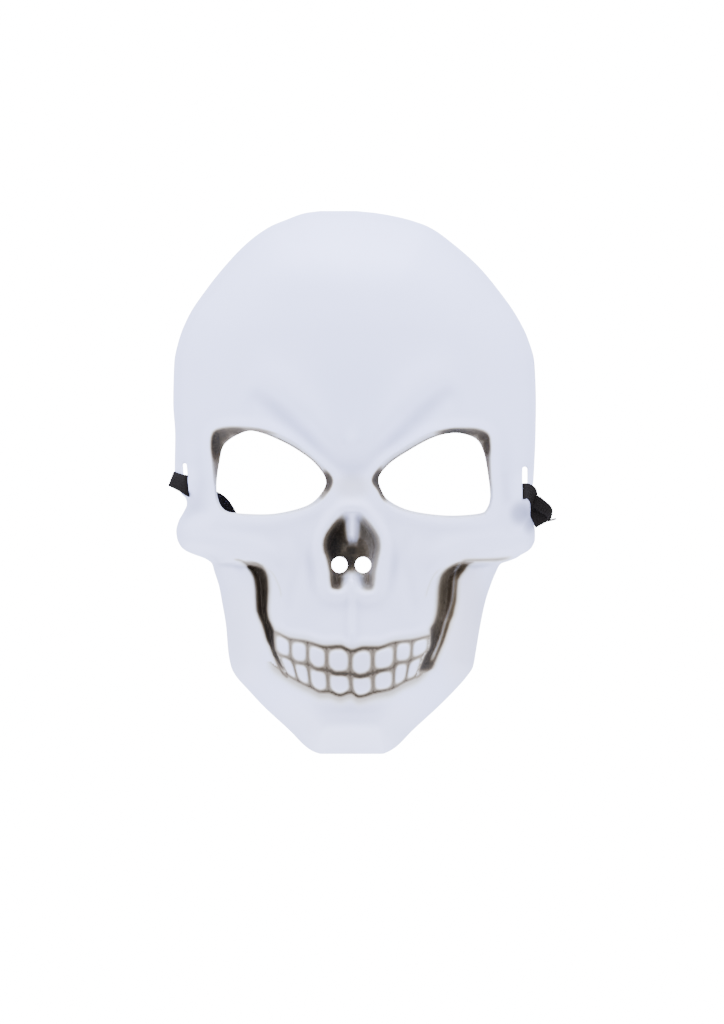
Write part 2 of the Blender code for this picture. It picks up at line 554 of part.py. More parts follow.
def slot_loop(row):
    """A strap slot with round ends."""
    side, across, up, lean = row
    cx, cy = spot(across, up)
    half = STRAP_SLOT_LENGTH / 2 - STRAP_SLOT_WIDTH / 2
    loop = []
    for i in range(14):
        turn = math.tau * (i + 0.5) / 14
        dx = STRAP_SLOT_WIDTH / 2 * math.cos(turn)
        dy = STRAP_SLOT_WIDTH / 2 * math.sin(turn)
        dy += half if math.sin(turn) > 0 else -half
        loop.append((cx + dx - lean * dy, cy + dy))
    return np.array(loop)


def round_loop(across, up, diameter, count):
    """A round hole on the plan."""
    cx, cy = spot(across, up)
    turns = np.arange(count) * math.tau / count
    return np.column_stack([cx + diameter / 2 * np.cos(turns), cy + diameter / 2 * np.sin(turns)])


def hole_loops():
    """Every opening through the shell."""
    loops = [walked(LOOPS["eye_left"], HOLE_STEP), walked(LOOPS["eye_right"], HOLE_STEP)]
    loops += [round_loop(*row, NOSTRIL_DIAMETER, 14) for row in NOSTRILS]
    return loops + [slot_loop(row) for row in STRAP_SLOTS]


def lattice(step):
    """Even rows of places over the whole mask."""
    rows = []
    for j in range(int(MASK_HEIGHT / (step * 0.866)) + 2):
        ys = -MASK_HEIGHT / 2 + j * step * 0.866
        xs = np.arange(-MASK_WIDTH * 0.55, MASK_WIDTH * 0.55, step) + (j % 2) * step / 2
        rows.append(np.column_stack([xs, np.full(len(xs), ys)]))
    return np.vstack(rows)


def detail_gap(x, y):
    """Distance to the nearest fine feature, zero inside it."""
    gap = np.minimum(np.abs(signed(LOOPS["socket_left"], x, y)), np.abs(signed(LOOPS["socket_right"], x, y)))
    gap = np.minimum(gap - HOLE_DETAIL, signed(LOOPS["nose"], x, y) - NOSE_DETAIL)
    up = y / MASK_HEIGHT + 0.5
    across = np.abs(x / MASK_WIDTH + 0.003)
    mouth = np.maximum(across - 0.235, np.abs(up - (0.170 + 1.05 * across ** 2)) - 0.062)
    gap = np.minimum(gap, mouth * MASK_WIDTH)
    for rows in (SLOT_LEFT, SLOT_RIGHT):
        table = np.array(rows)
        line = placed(np.column_stack([(table[:, 1] + table[:, 2]) / 2, table[:, 0]]))
        gap = np.minimum(gap, distance(line, x, y)[0] - GUM_DETAIL)
    for edge in CHEEK_EDGE:
        gap = np.minimum(gap, distance(edge, x, y)[0] - EDGE_DETAIL)
    return gap


def beside(line, gap, closed):
    """A row of places that keeps a distance from a curve."""
    row = walked(line, DETAIL_STEP * 0.9, closed)
    ahead = np.roll(row, -1, axis=0) - np.roll(row, 1, axis=0)
    if not closed:
        ahead[0], ahead[-1] = row[1] - row[0], row[-1] - row[-2]
    normal = np.column_stack([ahead[:, 1], -ahead[:, 0]]) / np.hypot(ahead[:, 0], ahead[:, 1])[:, None]
    return row + normal * gap


def crease_rows():
    """Rows of places along the lips, edges and hollows, so the facets follow them."""
    rows = [beside(LOOPS["socket_left"], 0, True), beside(LOOPS["socket_right"], 0, True)]
    rows += [beside(LOOPS["nose"], gap, True) for gap in NOSE_ROWS]
    for side, edge in zip((-1, 1), CHEEK_EDGE):
        rows += [beside(edge, 0, False), beside(edge, -side * EDGE_ROW, False)]
    for side, table in ((-1, SLOT_LEFT), (1, SLOT_RIGHT)):
        for column, gaps in ((1, (0.8, -2.2)), (2, (-0.5, 1.8))):
            line = placed([(row[column], row[0]) for row in table])
            rows += [beside(line, side * gap * MM, False) for gap in gaps]
    kept = rows[0]
    for row in rows[1:]:
        gaps = np.hypot(row[:, None, 0] - kept[None, :, 0], row[:, None, 1] - kept[None, :, 1]).min(axis=1)
        kept = np.vstack([kept, row[gaps > 0.5 * DETAIL_STEP]])
    return kept


def inner_places(rim, holes):
    """Places for the shell's points: rows on the creases, fine round them, wide on the plain dome."""
    rows = crease_rows()
    out = []
    for step, fine in ((0, True), (PLAIN_STEP, False), (DETAIL_STEP, True)):
        grid = lattice(step) if step else rows
        x, y = grid[:, 0], grid[:, 1]
        keep = signed(LOOPS["outline"], x, y) < -RIM_CLEAR
        for loop in holes:
            keep &= signed(loop, x, y) > (0.5 * HOLE_STEP if step else 0.35 * HOLE_STEP)
        if step:
            gap = detail_gap(x, y)
            keep &= (gap < 0) if fine else (gap > 0.45 * PLAIN_STEP)
            gaps = np.hypot(x[:, None] - rows[None, :, 0], y[:, None] - rows[None, :, 1]).min(axis=1)
            keep &= gaps > 0.62 * DETAIL_STEP
        out.append(grid[keep])
    return np.vstack(out)


def inside_height(x, y):
    """The inner face: nowhere nearer than the wall to the outer one."""
    low = face_height(x, y) - WALL
    for reach, drop in ((0.55, 0.835), (1.0, 0.0)):
        for turn in np.arange(8) * math.tau / 8 + reach:
            dx = WALL * reach * math.cos(turn)
            dy = WALL * reach * math.sin(turn)
            low = np.minimum(low, face_height(x + dx, y + dy) - WALL * drop)
    return low


def make_object(name, points, faces, colour, rough):
    """A mesh object with its own material."""
    mesh = bpy.data.meshes.new(name)
    mesh.from_pydata([tuple(float(c) for c in p) for p in points], [], faces)
    mesh.validate()
    work = bmesh.new()
    work.from_mesh(mesh)
    bmesh.ops.recalc_face_normals(work, faces=work.faces)
    work.to_mesh(mesh)
    work.free()
    for face in mesh.polygons:
        face.use_smooth = True
    obj = bpy.data.objects.new(name, mesh)
    bpy.context.scene.collection.objects.link(obj)
    material = bpy.data.materials.new(name + "_material")
    material.use_nodes = True
    shader = material.node_tree.nodes["Principled BSDF"]
    shader.inputs["Base Color"].default_value = colour
    shader.inputs["Roughness"].default_value = rough
    material.diffuse_color = colour
    mesh.materials.append(material)
    return obj


def build_shell():
    """The moulded shell: outer face, inner face, rim and the walls of its openings."""
    rim = walked(LOOPS["outline"], RIM_STEP)
    holes = hole_loops()
    loops = [rim] + holes
    places = np.vstack(loops + [inner_places(rim, holes)])
    edges = []
    first = 0
    for loop in loops:
        count = len(loop)
        edges += [(first + i, first + (i + 1) % count) for i in range(count)]
        first += count
    found = geometry.delaunay_2d_cdt([Vector(p) for p in places], edges, [], 0, 1e-7, False)
    plan = np.array([tuple(p) for p in found[0]])
    triangles = np.array(found[2])
    middle = plan[triangles].mean(axis=1)
    keep = within(rim, middle[:, 0], middle[:, 1])
    for loop in holes:
        keep &= ~within(loop, middle[:, 0], middle[:, 1])
    triangles = triangles[keep]

    count = len(plan)
    top = face_height(plan[:, 0], plan[:, 1])
    low = np.minimum(inside_height(plan[:, 0], plan[:, 1]), top - WALL)
    size = len(rim)
    tangent = np.roll(rim, -1, axis=0) - np.roll(rim, 1, axis=0)
    normal = np.column_stack([-tangent[:, 1], tangent[:, 0]])
    normal /= np.hypot(normal[:, 0], normal[:, 1])[:, None]
    probe = rim + normal * RIM_PROBE
    normal *= np.where(within(rim, probe[:, 0], probe[:, 1]), 1, -1)[:, None]
    plan_low = plan.copy()
    plan_low[:size] += normal * WALL * 1.25
    top[:size] = rim_lift(rim[:, 0], rim[:, 1])
    low[:size] = top[:size]
    low[size:] = np.maximum(low[size:], LEAST_HEIGHT)
    points = np.vstack([to_space(plan, top), to_space(plan_low, low)])
    faces = [tuple(int(i) for i in t) for t in triangles]
    faces += [tuple(int(i) + count for i in t[::-1]) for t in triangles]
    first = 0
    for loop in loops:
        for i in range(len(loop)):
            a, b = first + i, first + (i + 1) % len(loop)
            faces.append((a, b, b + count, a + count))
        first += len(loop)
    return make_object("mask_shell", points, faces, (0.80, 0.83, 0.88, 1), 0.38)


def swept(path, across, up, width, thick, closed):
    """A flat band along a path, as points and faces."""
    points = []
    for place, side, out in zip(path, across, up):
        for a, b in BAND_SECTION:
            points.append(place + side * (a * width) + out * (b * thick))
    size = len(BAND_SECTION)
    count = len(path)
    faces = []
    for i in range(count if closed else count - 1):
        for j in range(size):
            k = (j + 1) % size
            n = (i + 1) % count
            faces.append((i * size + j, i * size + k, n * size + k, n * size + j))
    if not closed:
        faces.append(tuple(range(size))[::-1])
        faces.append(tuple((count - 1) * size + j for j in range(size)))
    return points, faces


def unit(vector):
    return vector / np.linalg.norm(vector)


def build_band():
    """The strap's long run behind the face."""
    rows = np.array(BAND_ROUTE)
    knots = to_space(placed(rows[:, :2]), rows[:, 2] * BAND_THICK)
    line = rounded(knots, closed=False, steps=4)
    path, across, up = [], [], []
    for i, place in enumerate(line):
        ahead = line[min(i + 1, len(line) - 1)] - line[max(i - 1, 0)]
        ahead = unit(ahead)
        side = unit(np.cross((0, 0, 1), ahead))
        path.append(place)
        across.append(side)
        up.append(np.cross(ahead, side))
    points, faces = swept(path, across, up, BAND_WIDTH, BAND_THICK, False)
    return make_object("elastic_band", points, faces, (0.02, 0.02, 0.022, 1), 0.8)


def strip_section(row, at):
    """Corners of the strip between slot and rim, as seen along the slot: run outwards, height."""
    side, across, up, lean = row
    cx, cy = spot(across, up)
    x_slot = cx - lean * at + side * STRAP_SLOT_WIDTH / 2
    y = cy + at
    reach = curve(OUTLINE, 1 if side < 0 else 2, y / MASK_HEIGHT + 0.5) * MASK_WIDTH * side
    tops = face_height(np.array([x_slot]), np.array([y]))
    lows = np.minimum(inside_height(np.array([x_slot]), np.array([y])), tops - WALL)
    lift = rim_lift(np.array([reach]), np.array([y]))
    corners = [(x_slot, tops[0]), (x_slot, lows[0]), (reach, lift[0]), (reach - side * WALL * 1.25, lift[0])]
    return np.array([to_space(np.array([[x, y]]), np.array([z]))[0] for x, z in corners])


def tie_ring(row, middle, skew, reach_to):
    """A flat loop round the strip, through the slot and under the rim."""
    side, across, up, lean = row
    cx, cy = spot(across, up)
    origin = to_space(np.array([[cx - lean * middle, cy + middle]]), np.array([LOOP_HEIGHT]))[0]
    outward = np.array([side * math.cos(skew), math.sin(skew), 0.0])
    corners = []
    for share in (-0.42, 0.0, 0.42, 0.42 + 0.5 * math.sin(skew), -0.42 + 0.5 * math.sin(skew)):
        place = middle + share * BAND_WIDTH
        line = origin[0] - lean * share * BAND_WIDTH
        section = strip_section(row, place)
        corners += [((x - line) * side, z) for x, y, z in section[:2]]
        corners += [((corner - origin) @ outward, corner[2]) for corner in section[2:]]
    corners += [((place - origin) @ outward, place[2]) for place in reach_to]
    corners = np.array(corners)
    skewed = np.array([-outward[1], outward[0], 0.0]) * side
    straight = unit(np.array([-lean, 1.0, 0.0]))
    far = corners[:, 0].max()
    path, widths, outs = [], [], []
    for i in range(30):
        turn = math.tau * i / 30
        way = np.array([math.cos(turn), math.sin(turn)])
        off = BAND_THICK / 2 + PIECE_GAP * (1.2 + 1.6 * max(way[0], 0))
        run, high = corners[int(np.argmax(corners @ way))] + way * off
        path.append(origin * (1, 1, 0) + outward * run + np.array([0, 0, high]))
        turned = float(ease(0.15, 0.75, run / far))
        widths.append(unit(straight * (1 - turned) + skewed * turned))
        outs.append(unit(np.array([side * way[0], 0, way[1]])))
    return swept(path, widths, outs, BAND_WIDTH * 0.90, BAND_THICK, True)


def lump(centre, along, sizes):
    """A tight knot: a squared ball with flat folds."""
    points, faces = [], []
    rings, sides = 9, 14
    along = unit(np.array(along, dtype=float))
    side = unit(np.cross((0, 0, 1), along))
    high = np.cross(along, side)
    for i in range(rings + 1):
        polar = math.pi * i / rings
        for j in range(sides):
            turn = math.tau * j / sides
            ring = math.sin(polar)
            raw = np.array([math.cos(polar), ring * math.cos(turn), ring * math.sin(turn)])
            raw = np.sign(raw) * np.abs(raw) ** 0.72
            spread = along * raw[0] * sizes[0] + side * raw[1] * sizes[1] + high * raw[2] * sizes[2]
            points.append(centre + spread / 2)
    for i in range(rings):
        for j in range(sides):
            k = (j + 1) % sides
            faces.append((i * sides + j, i * sides + k, (i + 1) * sides + k, (i + 1) * sides + j))
    return points, faces


def slab(centre, along, across, length, width, thick):
    """A short flat length of band."""
    along, across = unit(np.array(along, dtype=float)), unit(np.array(across, dtype=float))
    high = unit(np.cross(along, across))
    across = np.cross(high, along)
    path = [centre + along * length * (t - 0.5) for t in (0.0, 0.34, 0.67, 1.0)]
    return swept(path, [across] * 4, [high] * 4, width, thick, False)


def united(name, parts):
    """Overlapping lengths of the same elastic as one solid."""
    solids = [make_object(name if i == 0 else name + "_add", p, f, (0.02, 0.02, 0.022, 1), 0.8)
              for i, (p, f) in enumerate(parts)]
    whole = solids[0]
    for other in solids[1:]:
        step = whole.modifiers.new("join", "BOOLEAN")
        step.operation = "UNION"
        step.solver = "EXACT"
        step.object = other
        view = bpy.context.evaluated_depsgraph_get()
        joined = bpy.data.meshes.new_from_object(whole.evaluated_get(view))
        whole.modifiers.clear()
        whole.data = joined
        bpy.data.objects.remove(other, do_unlink=True)
    whole.name = name
    return whole


def at(across, up, height):
    """A place in space from shares and a height."""
    return to_space(np.array([spot(across, up)]), np.array([height]))[0]


def build_left_tie():
    """Loop round the left strip with its knot tucked inside the shell."""
    row = STRAP_SLOTS[0]
    ring = tie_ring(row, LEFT_LOOP_PLACE, math.radians(15), [at(-0.4500, 0.4790, BAND_THICK * 1.875)])
    sizes = (KNOT_LENGTH * 0.72, KNOT_BREADTH * 0.8, KNOT_HEIGHT * 0.68)
    knot = lump(at(-0.4270, 0.4760, KNOT_HEIGHT * 0.55), (1, -0.12, -0.05), sizes)
    return united("left_tie", [ring, knot])


def build_right_tie():
    """Loop round the right strip, its knot outside the rim and the cut end below it."""
    row = STRAP_SLOTS[1]
    ring = tie_ring(row, RIGHT_LOOP_PLACE, math.radians(-30), [at(0.5080, 0.4690, KNOT_HEIGHT * 0.70)])
    sizes = (KNOT_LENGTH, KNOT_BREADTH, KNOT_HEIGHT)
    knot = lump(at(0.5235, 0.4540, KNOT_HEIGHT * 0.67), (0.6, -0.8, 0), sizes)
    middle = at(0.5160, 0.4350, KNOT_HEIGHT * 0.93)
    end = slab(middle, (0.50, -0.87, -0.10), (0.87, 0.50, -0.25), TAIL_LENGTH, BAND_WIDTH * 0.95, BAND_THICK)
    return united("right_tie", [ring, knot, end])


def clear_scene():
    for obj in list(bpy.data.objects):
        bpy.data.objects.remove(obj, do_unlink=True)


clear_scene()
build_shell()
build_band()
build_left_tie()
build_right_tie()
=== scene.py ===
"""Looks of a moulded plastic skull mask on an elastic strap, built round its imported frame.

The camera, the floor and the light come first, then the strap, the shell and the two ties.
Metres, +Z out of the face. The mask lies face up on its rim.
"""
import math

import bmesh
import bpy
import numpy as np
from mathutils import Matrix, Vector, geometry


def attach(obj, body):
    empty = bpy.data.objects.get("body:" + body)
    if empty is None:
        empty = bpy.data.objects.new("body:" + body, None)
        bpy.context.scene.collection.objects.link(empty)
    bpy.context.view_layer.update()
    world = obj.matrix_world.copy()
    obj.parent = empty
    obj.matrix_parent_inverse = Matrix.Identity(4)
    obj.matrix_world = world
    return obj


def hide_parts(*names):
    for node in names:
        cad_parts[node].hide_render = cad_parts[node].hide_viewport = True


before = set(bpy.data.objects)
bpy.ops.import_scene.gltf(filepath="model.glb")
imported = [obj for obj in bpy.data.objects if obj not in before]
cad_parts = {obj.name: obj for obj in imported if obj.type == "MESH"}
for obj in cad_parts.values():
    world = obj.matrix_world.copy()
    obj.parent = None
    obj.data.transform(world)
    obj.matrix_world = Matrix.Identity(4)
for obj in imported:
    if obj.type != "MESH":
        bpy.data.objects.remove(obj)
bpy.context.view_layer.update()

MM = 0.001
# sizes of the mask, in metres
MASK_WIDTH = 0.1671
MASK_HEIGHT = 0.2500
MASK_DEPTH = 0.0800
WALL = 0.0015
VIEW_HEIGHT = 1.5000
MIDLINE_OFFSET = 0.00069
VIEW_CENTRE = np.array((0.0041, -0.0136))
RIM_LIFT = 0.0070
STRAP_SLOT_LENGTH = 0.0150
NOSTRIL_DIAMETER = 0.0073
NOSE_DEPTH = 0.0150
SOCKET_DEPTH = 0.0070
CHEEK_DROP = 0.0062
TOOTH_RELIEF = 0.0016
FORM_BLEND = 0.0090
RIM_CALM = 0.0070
ARCH_CALM = 0.0140

# sizes of the relief, in metres
BROW_RISE = 0.0034
BROW_SLOPE_ABOVE = 0.0115
BROW_SLOPE_BELOW = 0.0045
BROW_HOLLOW_PLACE = 0.0085
BROW_HOLLOW_BREADTH = 0.0055
SOCKET_LIP_RISE = 0.0022
SOCKET_LIP_BREADTH = 0.0042
SOCKET_LEDGE = 0.0012
SOCKET_LEDGE_FULL = 0.0022
NOSE_LIP_RISE = 0.0030
NOSE_LIP_BREADTH = 0.0036
NOSE_LIP_PLACE = 0.0022
NOSE_WALL = 0.0036
NOSE_WALL_START = 0.0003
SPIKE_HALF = 0.0035
SPIKE_TIP = 0.0019
SPINE_HALF = 0.0016
SPINE_FOOT = 0.0040
SPINE_HEIGHT = 0.0080
MIDLINE_RISE = 0.0019
MIDLINE_HALF = 0.0016
CHEEK_RISE = 0.0030
CHEEK_SWELL = 0.0120
CHEEK_EDGE_BREADTH = 0.0022
JAW_RECOVERY = 0.0260
HOLLOW_INNER_EDGE = 0.0020
HOLLOW_OUTER_EDGES = (0.0028, 0.0056)
HOLLOW_START = 0.0008
GUM_RISE = 0.0009
GUM_PLACE = 0.0024
GUM_BREADTH = 0.0026

# places and strengths of the relief, as shares
FACE_MIDDLE = -0.003
BROW_ENDS = (0.20, 0.33)
BROW_MIDDLE = (0.02, 0.12)
BROW_MIDDLE_RISE = 0.25
LIP_TURN = (0.48, 0.53)
LOWER_LIP_RISE = 0.45
LOWER_LIP_BREADTH = 1.4
LEAST_SOCKET = 0.25
SPIKE_TOP = (FACE_MIDDLE, 0.447)
SPIKE_END = 0.392
SPIKE_FULL = 0.93
SPINE_PLACE = (-0.005, 0.326)
SPINE_FULL = 0.6
LIP_RIDGE_FOOT = (0.195, 0.225)
LIP_RIDGE_TOP = 0.318
CHEEK_FADE = (0.196, 0.262)
CHEEK_GROWTH = (0.08, 0.30)
FOLD_ENDS = 0.22
HOLLOW_FOOT = (-0.006, 0.02)
HOLLOW_TOP = (-0.002, 0.004)
TOOTH_SQUARENESS = 3.2
TOOTH_FLAT = 0.52
GUM_SIDES = (0.20, 0.235)
WALL_TOP = 1.08
WALL_CURVE = 2.3
# steps between two points of a smooth curve, and a length too short to divide by
CURVE_STEPS = 5
TINY = 1e-12

# outlines and lines of the face, in shares of its width and height
OUTLINE = (  # up, left reach, right reach
    (1, 0.0909, 0.0083), (0.9963, 0.1322, 0.0634), (0.9853, 0.1791, 0.146), (0.9705, 0.2314, 0.2094),
    (0.9411, 0.292, 0.2727), (0.8969, 0.3554, 0.3471), (0.8527, 0.4077, 0.4022), (0.8085, 0.4518, 0.449),
    (0.7643, 0.4793, 0.4821), (0.7201, 0.4931, 0.5), (0.6464, 0.4959, 0.5041), (0.5875, 0.4904, 0.5028),
    (0.5212, 0.4917, 0.4986), (0.5046, 0.4898, 0.497), (0.4899, 0.4835, 0.4942), (0.4788, 0.4725, 0.4915),
    (0.4696, 0.4601, 0.4893), (0.4604, 0.4579, 0.4882), (0.4475, 0.4656, 0.4893), (0.4291, 0.4807, 0.4959),
    (0.4107, 0.4876, 0.5014), (0.3959, 0.4848, 0.5014), (0.3812, 0.4738, 0.4931), (0.3738, 0.4601, 0.4821),
    (0.3665, 0.4353, 0.4628), (0.361, 0.4118, 0.4504), (0.3554, 0.3967, 0.4298), (0.3499, 0.3884, 0.4063),
    (0.337, 0.3829, 0.3953), (0.3076, 0.3691, 0.3774), (0.2781, 0.3609, 0.3636), (0.2339, 0.3499, 0.3499),
    (0.1897, 0.3444, 0.3388), (0.1602, 0.3361, 0.3306), (0.1455, 0.3251, 0.3168), (0.116, 0.2865, 0.2782),
    (0.0866, 0.2452, 0.2342), (0.0424, 0.1736, 0.1625), (0.0129, 0.1295, 0.1185), (0.0037, 0.1074, 0.0964),
    (0, 0.0909, 0.0826),
)
EYE_LEFT = (  # across, up
    (-0.2953, 0.5937), (-0.3523, 0.5716), (-0.3678, 0.5378), (-0.376, 0.4956), (-0.3705, 0.4659),
    (-0.3523, 0.4486), (-0.3176, 0.4436), (-0.2449, 0.4416), (-0.1879, 0.4459), (-0.1245, 0.4586),
    (-0.0898, 0.4786), (-0.0752, 0.5046), (-0.1058, 0.5357), (-0.1562, 0.561), (-0.2036, 0.5779),
    (-0.2512, 0.5906),
)
EYE_RIGHT = (  # across, up
    (0.0711, 0.5088), (0.0986, 0.5335), (0.1466, 0.5558), (0.2132, 0.5805), (0.2647, 0.5902),
    (0.3052, 0.589), (0.3421, 0.5779), (0.3606, 0.5532), (0.3716, 0.5138), (0.3774, 0.4744),
    (0.368, 0.4521), (0.346, 0.4429), (0.2573, 0.4394), (0.1579, 0.4484), (0.0986, 0.467), (0.0785, 0.4862),
)
SOCKET_LEFT = (  # across, up
    (-0.2975, 0.6022), (-0.3444, 0.6022), (-0.3777, 0.5971), (-0.3904, 0.5856), (-0.3926, 0.5635),
    (-0.3871, 0.5322), (-0.3815, 0.4954), (-0.376, 0.4641), (-0.3567, 0.4448), (-0.3176, 0.4392),
    (-0.2449, 0.4372), (-0.186, 0.4411), (-0.1212, 0.453), (-0.0771, 0.4733), (-0.0551, 0.5046),
    (-0.0909, 0.5341), (-0.1488, 0.5672), (-0.1983, 0.5866), (-0.2507, 0.5985),
)
SOCKET_RIGHT = (  # across, up
    (0.0515, 0.5068), (0.0854, 0.5378), (0.1377, 0.5626), (0.2066, 0.5893), (0.2603, 0.5989),
    (0.3052, 0.6007), (0.3471, 0.5982), (0.3733, 0.5884), (0.3788, 0.5654), (0.3774, 0.5414),
    (0.3788, 0.512), (0.3837, 0.4744), (0.3736, 0.4484), (0.3488, 0.4374), (0.2573, 0.4346),
    (0.1551, 0.4435), (0.0909, 0.4622), (0.0675, 0.4843),
)
NOSE_CAVITY = (  # across, up
    (-0.0028, 0.4466), (-0.0275, 0.4438), (-0.0551, 0.4254), (-0.0785, 0.4015), (-0.0832, 0.3794),
    (-0.073, 0.3573), (-0.0661, 0.3352), (-0.0639, 0.3168), (-0.0579, 0.3048), (-0.0358, 0.3029),
    (-0.0193, 0.3131), (-0.0041, 0.326), (0.011, 0.3131), (0.0275, 0.302), (0.0523, 0.3029),
    (0.0592, 0.3149), (0.062, 0.3352), (0.0689, 0.3573), (0.0752, 0.3812), (0.0689, 0.4033),
    (0.0441, 0.4273), (0.022, 0.4438),
)
CHEEK_EDGE_LEFT = (  # across, up
    (-0.4986, 0.3849), (-0.4683, 0.3775), (-0.4408, 0.3683), (-0.4132, 0.3619), (-0.3939, 0.3573),
    (-0.3333, 0.3573), (-0.2782, 0.3508), (-0.2488, 0.3455), (-0.2259, 0.3352), (-0.2121, 0.3241),
    (-0.2022, 0.3076), (-0.1983, 0.2891),
)
CHEEK_EDGE_RIGHT = (  # across, up
    (0.5152, 0.3886), (0.4876, 0.3775), (0.4656, 0.3674), (0.4463, 0.361), (0.405, 0.3573),
    (0.3499, 0.3573), (0.2975, 0.3554), (0.2672, 0.349), (0.2424, 0.337), (0.2204, 0.3223),
    (0.2066, 0.3057), (0.1983, 0.2873),
)
SLOT_LEFT = (  # up, outer edge, inner edge, depth
    (0.3573, -0.3168, -0.2837, 0.025), (0.3517, -0.3058, -0.259, 0.075), (0.3462, -0.2948, -0.2466, 0.113),
    (0.3352, -0.281, -0.2369, 0.163), (0.3204, -0.2719, -0.2314, 0.188), (0.302, -0.2686, -0.2298, 0.2),
    (0.2836, -0.2672, -0.2314, 0.2), (0.2652, -0.2656, -0.2328, 0.188), (0.2505, -0.259, -0.23, 0.175),
    (0.2376, -0.2512, -0.2218, 0.163), (0.2247, -0.2452, -0.2149, 0.163), (0.2099, -0.2388, -0.2149, 0.15),
    (0.1952, -0.2287, -0.2135, 0.125), (0.1805, -0.2204, -0.2052, 0.1), (0.1657, -0.208, -0.1956, 0.075),
    (0.1492, -0.1928, -0.1818, 0.037),
)
SLOT_RIGHT = (  # up, outer edge, inner edge, depth
    (0.3582, 0.3499, 0.3113, 0.025), (0.3517, 0.3306, 0.281, 0.075), (0.3462, 0.3168, 0.2658, 0.113),
    (0.3389, 0.3099, 0.2507, 0.15), (0.3297, 0.2989, 0.241, 0.175), (0.3186, 0.2906, 0.2355, 0.188),
    (0.302, 0.2882, 0.2314, 0.2), (0.2836, 0.2865, 0.23, 0.2), (0.2689, 0.2824, 0.2287, 0.188),
    (0.256, 0.2782, 0.2259, 0.175), (0.2431, 0.27, 0.2204, 0.163), (0.2284, 0.2631, 0.2107, 0.163),
    (0.2173, 0.2576, 0.2107, 0.163), (0.2063, 0.2521, 0.211, 0.15), (0.1952, 0.2452, 0.208, 0.138),
    (0.1805, 0.2355, 0.1956, 0.113), (0.1694, 0.2287, 0.1887, 0.1), (0.1584, 0.2212, 0.1818, 0.075),
    (0.1455, 0.1956, 0.1763, 0.037),
)
GUM_UPPER = (  # across, up
    (-0.2507, 0.2339), (-0.2135, 0.2239), (-0.1727, 0.2116), (-0.1287, 0.2066), (-0.0733, 0.1969),
    (-0.0364, 0.198), (-0.003, 0.1901), (0.03, 0.1956), (0.0669, 0.1956), (0.1149, 0.2053),
    (0.1628, 0.2092), (0.2072, 0.2166), (0.2397, 0.2247),
)
BITE = (  # across, up
    (-0.2507, 0.1952), (-0.2096, 0.1845), (-0.1766, 0.1759), (-0.1543, 0.1685), (-0.1212, 0.1646),
    (-0.0992, 0.1562), (-0.0733, 0.1549), (-0.0438, 0.1475), (-0.0105, 0.1475), (0.019, 0.1425),
    (0.0523, 0.1486), (0.0708, 0.1525), (0.1039, 0.1573), (0.1223, 0.1672), (0.1518, 0.1709),
    (0.1887, 0.182), (0.2072, 0.1893), (0.2397, 0.1989),
)
GUM_LOWER = (  # across, up
    (-0.2287, 0.1694), (-0.1876, 0.1486), (-0.1581, 0.1363), (-0.1174, 0.1228), (-0.0879, 0.1142),
    (-0.0694, 0.1142), (-0.0364, 0.1079), (-0.0069, 0.1129), (0.0154, 0.1055), (0.0595, 0.1129),
    (0.1039, 0.1192), (0.1408, 0.1326), (0.1777, 0.1438), (0.2176, 0.1694),
)
GAPS_UPPER = (  # across at top, up, across at foot, up
    (-0.2171, 0.2228, -0.2132, 0.1851), (-0.1727, 0.2118, -0.1719, 0.175),
    (-0.1253, 0.2063, -0.1253, 0.1657), (-0.0733, 0.1971, -0.0727, 0.1547),
    (-0.0066, 0.1915, -0.0083, 0.1473), (0.054, 0.1952, 0.054, 0.1486), (0.1168, 0.2053, 0.1146, 0.1639),
    (0.1628, 0.2092, 0.1587, 0.1722), (0.2102, 0.2173, 0.2052, 0.1878),
)
GAPS_LOWER = (  # across at top, up, across at foot, up
    (-0.2061, 0.1796, -0.1832, 0.1455), (-0.1672, 0.1746, -0.1507, 0.1344),
    (-0.1248, 0.1646, -0.1174, 0.1228), (-0.0713, 0.1525, -0.0678, 0.1142),
    (-0.0085, 0.1449, -0.003, 0.1114), (0.054, 0.1449, 0.0559, 0.1123), (0.1132, 0.1628, 0.1113, 0.1215),
    (0.1537, 0.1696, 0.1444, 0.1326), (0.1942, 0.182, 0.1722, 0.1418),
)
# dome under all the features: rows from above the crown to below the chin
DOME = (  # up, depth, half width, fullness
    (1.02, 0.22, 0.31, 2.2), (1, 0.4, 0.335, 2.2), (0.97, 0.56, 0.375, 2.2), (0.94, 0.665, 0.41, 2.2),
    (0.9, 0.775, 0.445, 2.15), (0.85, 0.85, 0.47, 2.1), (0.78, 0.912, 0.502, 2.1), (0.69, 0.945, 0.52, 2.1),
    (0.6, 0.95, 0.524, 2.1), (0.5, 0.935, 0.524, 2.1), (0.4, 0.945, 0.524, 2.2), (0.375, 0.95, 0.505, 2.3),
    (0.345, 0.955, 0.455, 2.5), (0.28, 0.965, 0.42, 2.6), (0.19, 0.97, 0.405, 2.5),
    (0.12, 0.95, 0.375, 2.3), (0.05, 0.9, 0.315, 2.2), (-0.02, 0.8, 0.27, 2.2),
)
# how far in the wall from the rim reaches full depth
RIM_WALL = (  # up, reach in shares of the height
    (1, 0.2), (0.9, 0.23), (0.75, 0.29), (0.6, 0.31), (0.48, 0.27), (0.41, 0.17), (0.375, 0.11),
    (0.345, 0.12), (0.25, 0.14), (0.15, 0.13), (0.08, 0.1), (0, 0.085),
)
# the temples, where the rim lifts clear for the strap
RIM_ARCH = (  # side, up, half length
    (-1, 0.49, 0.052), (1, 0.474, 0.056),
)
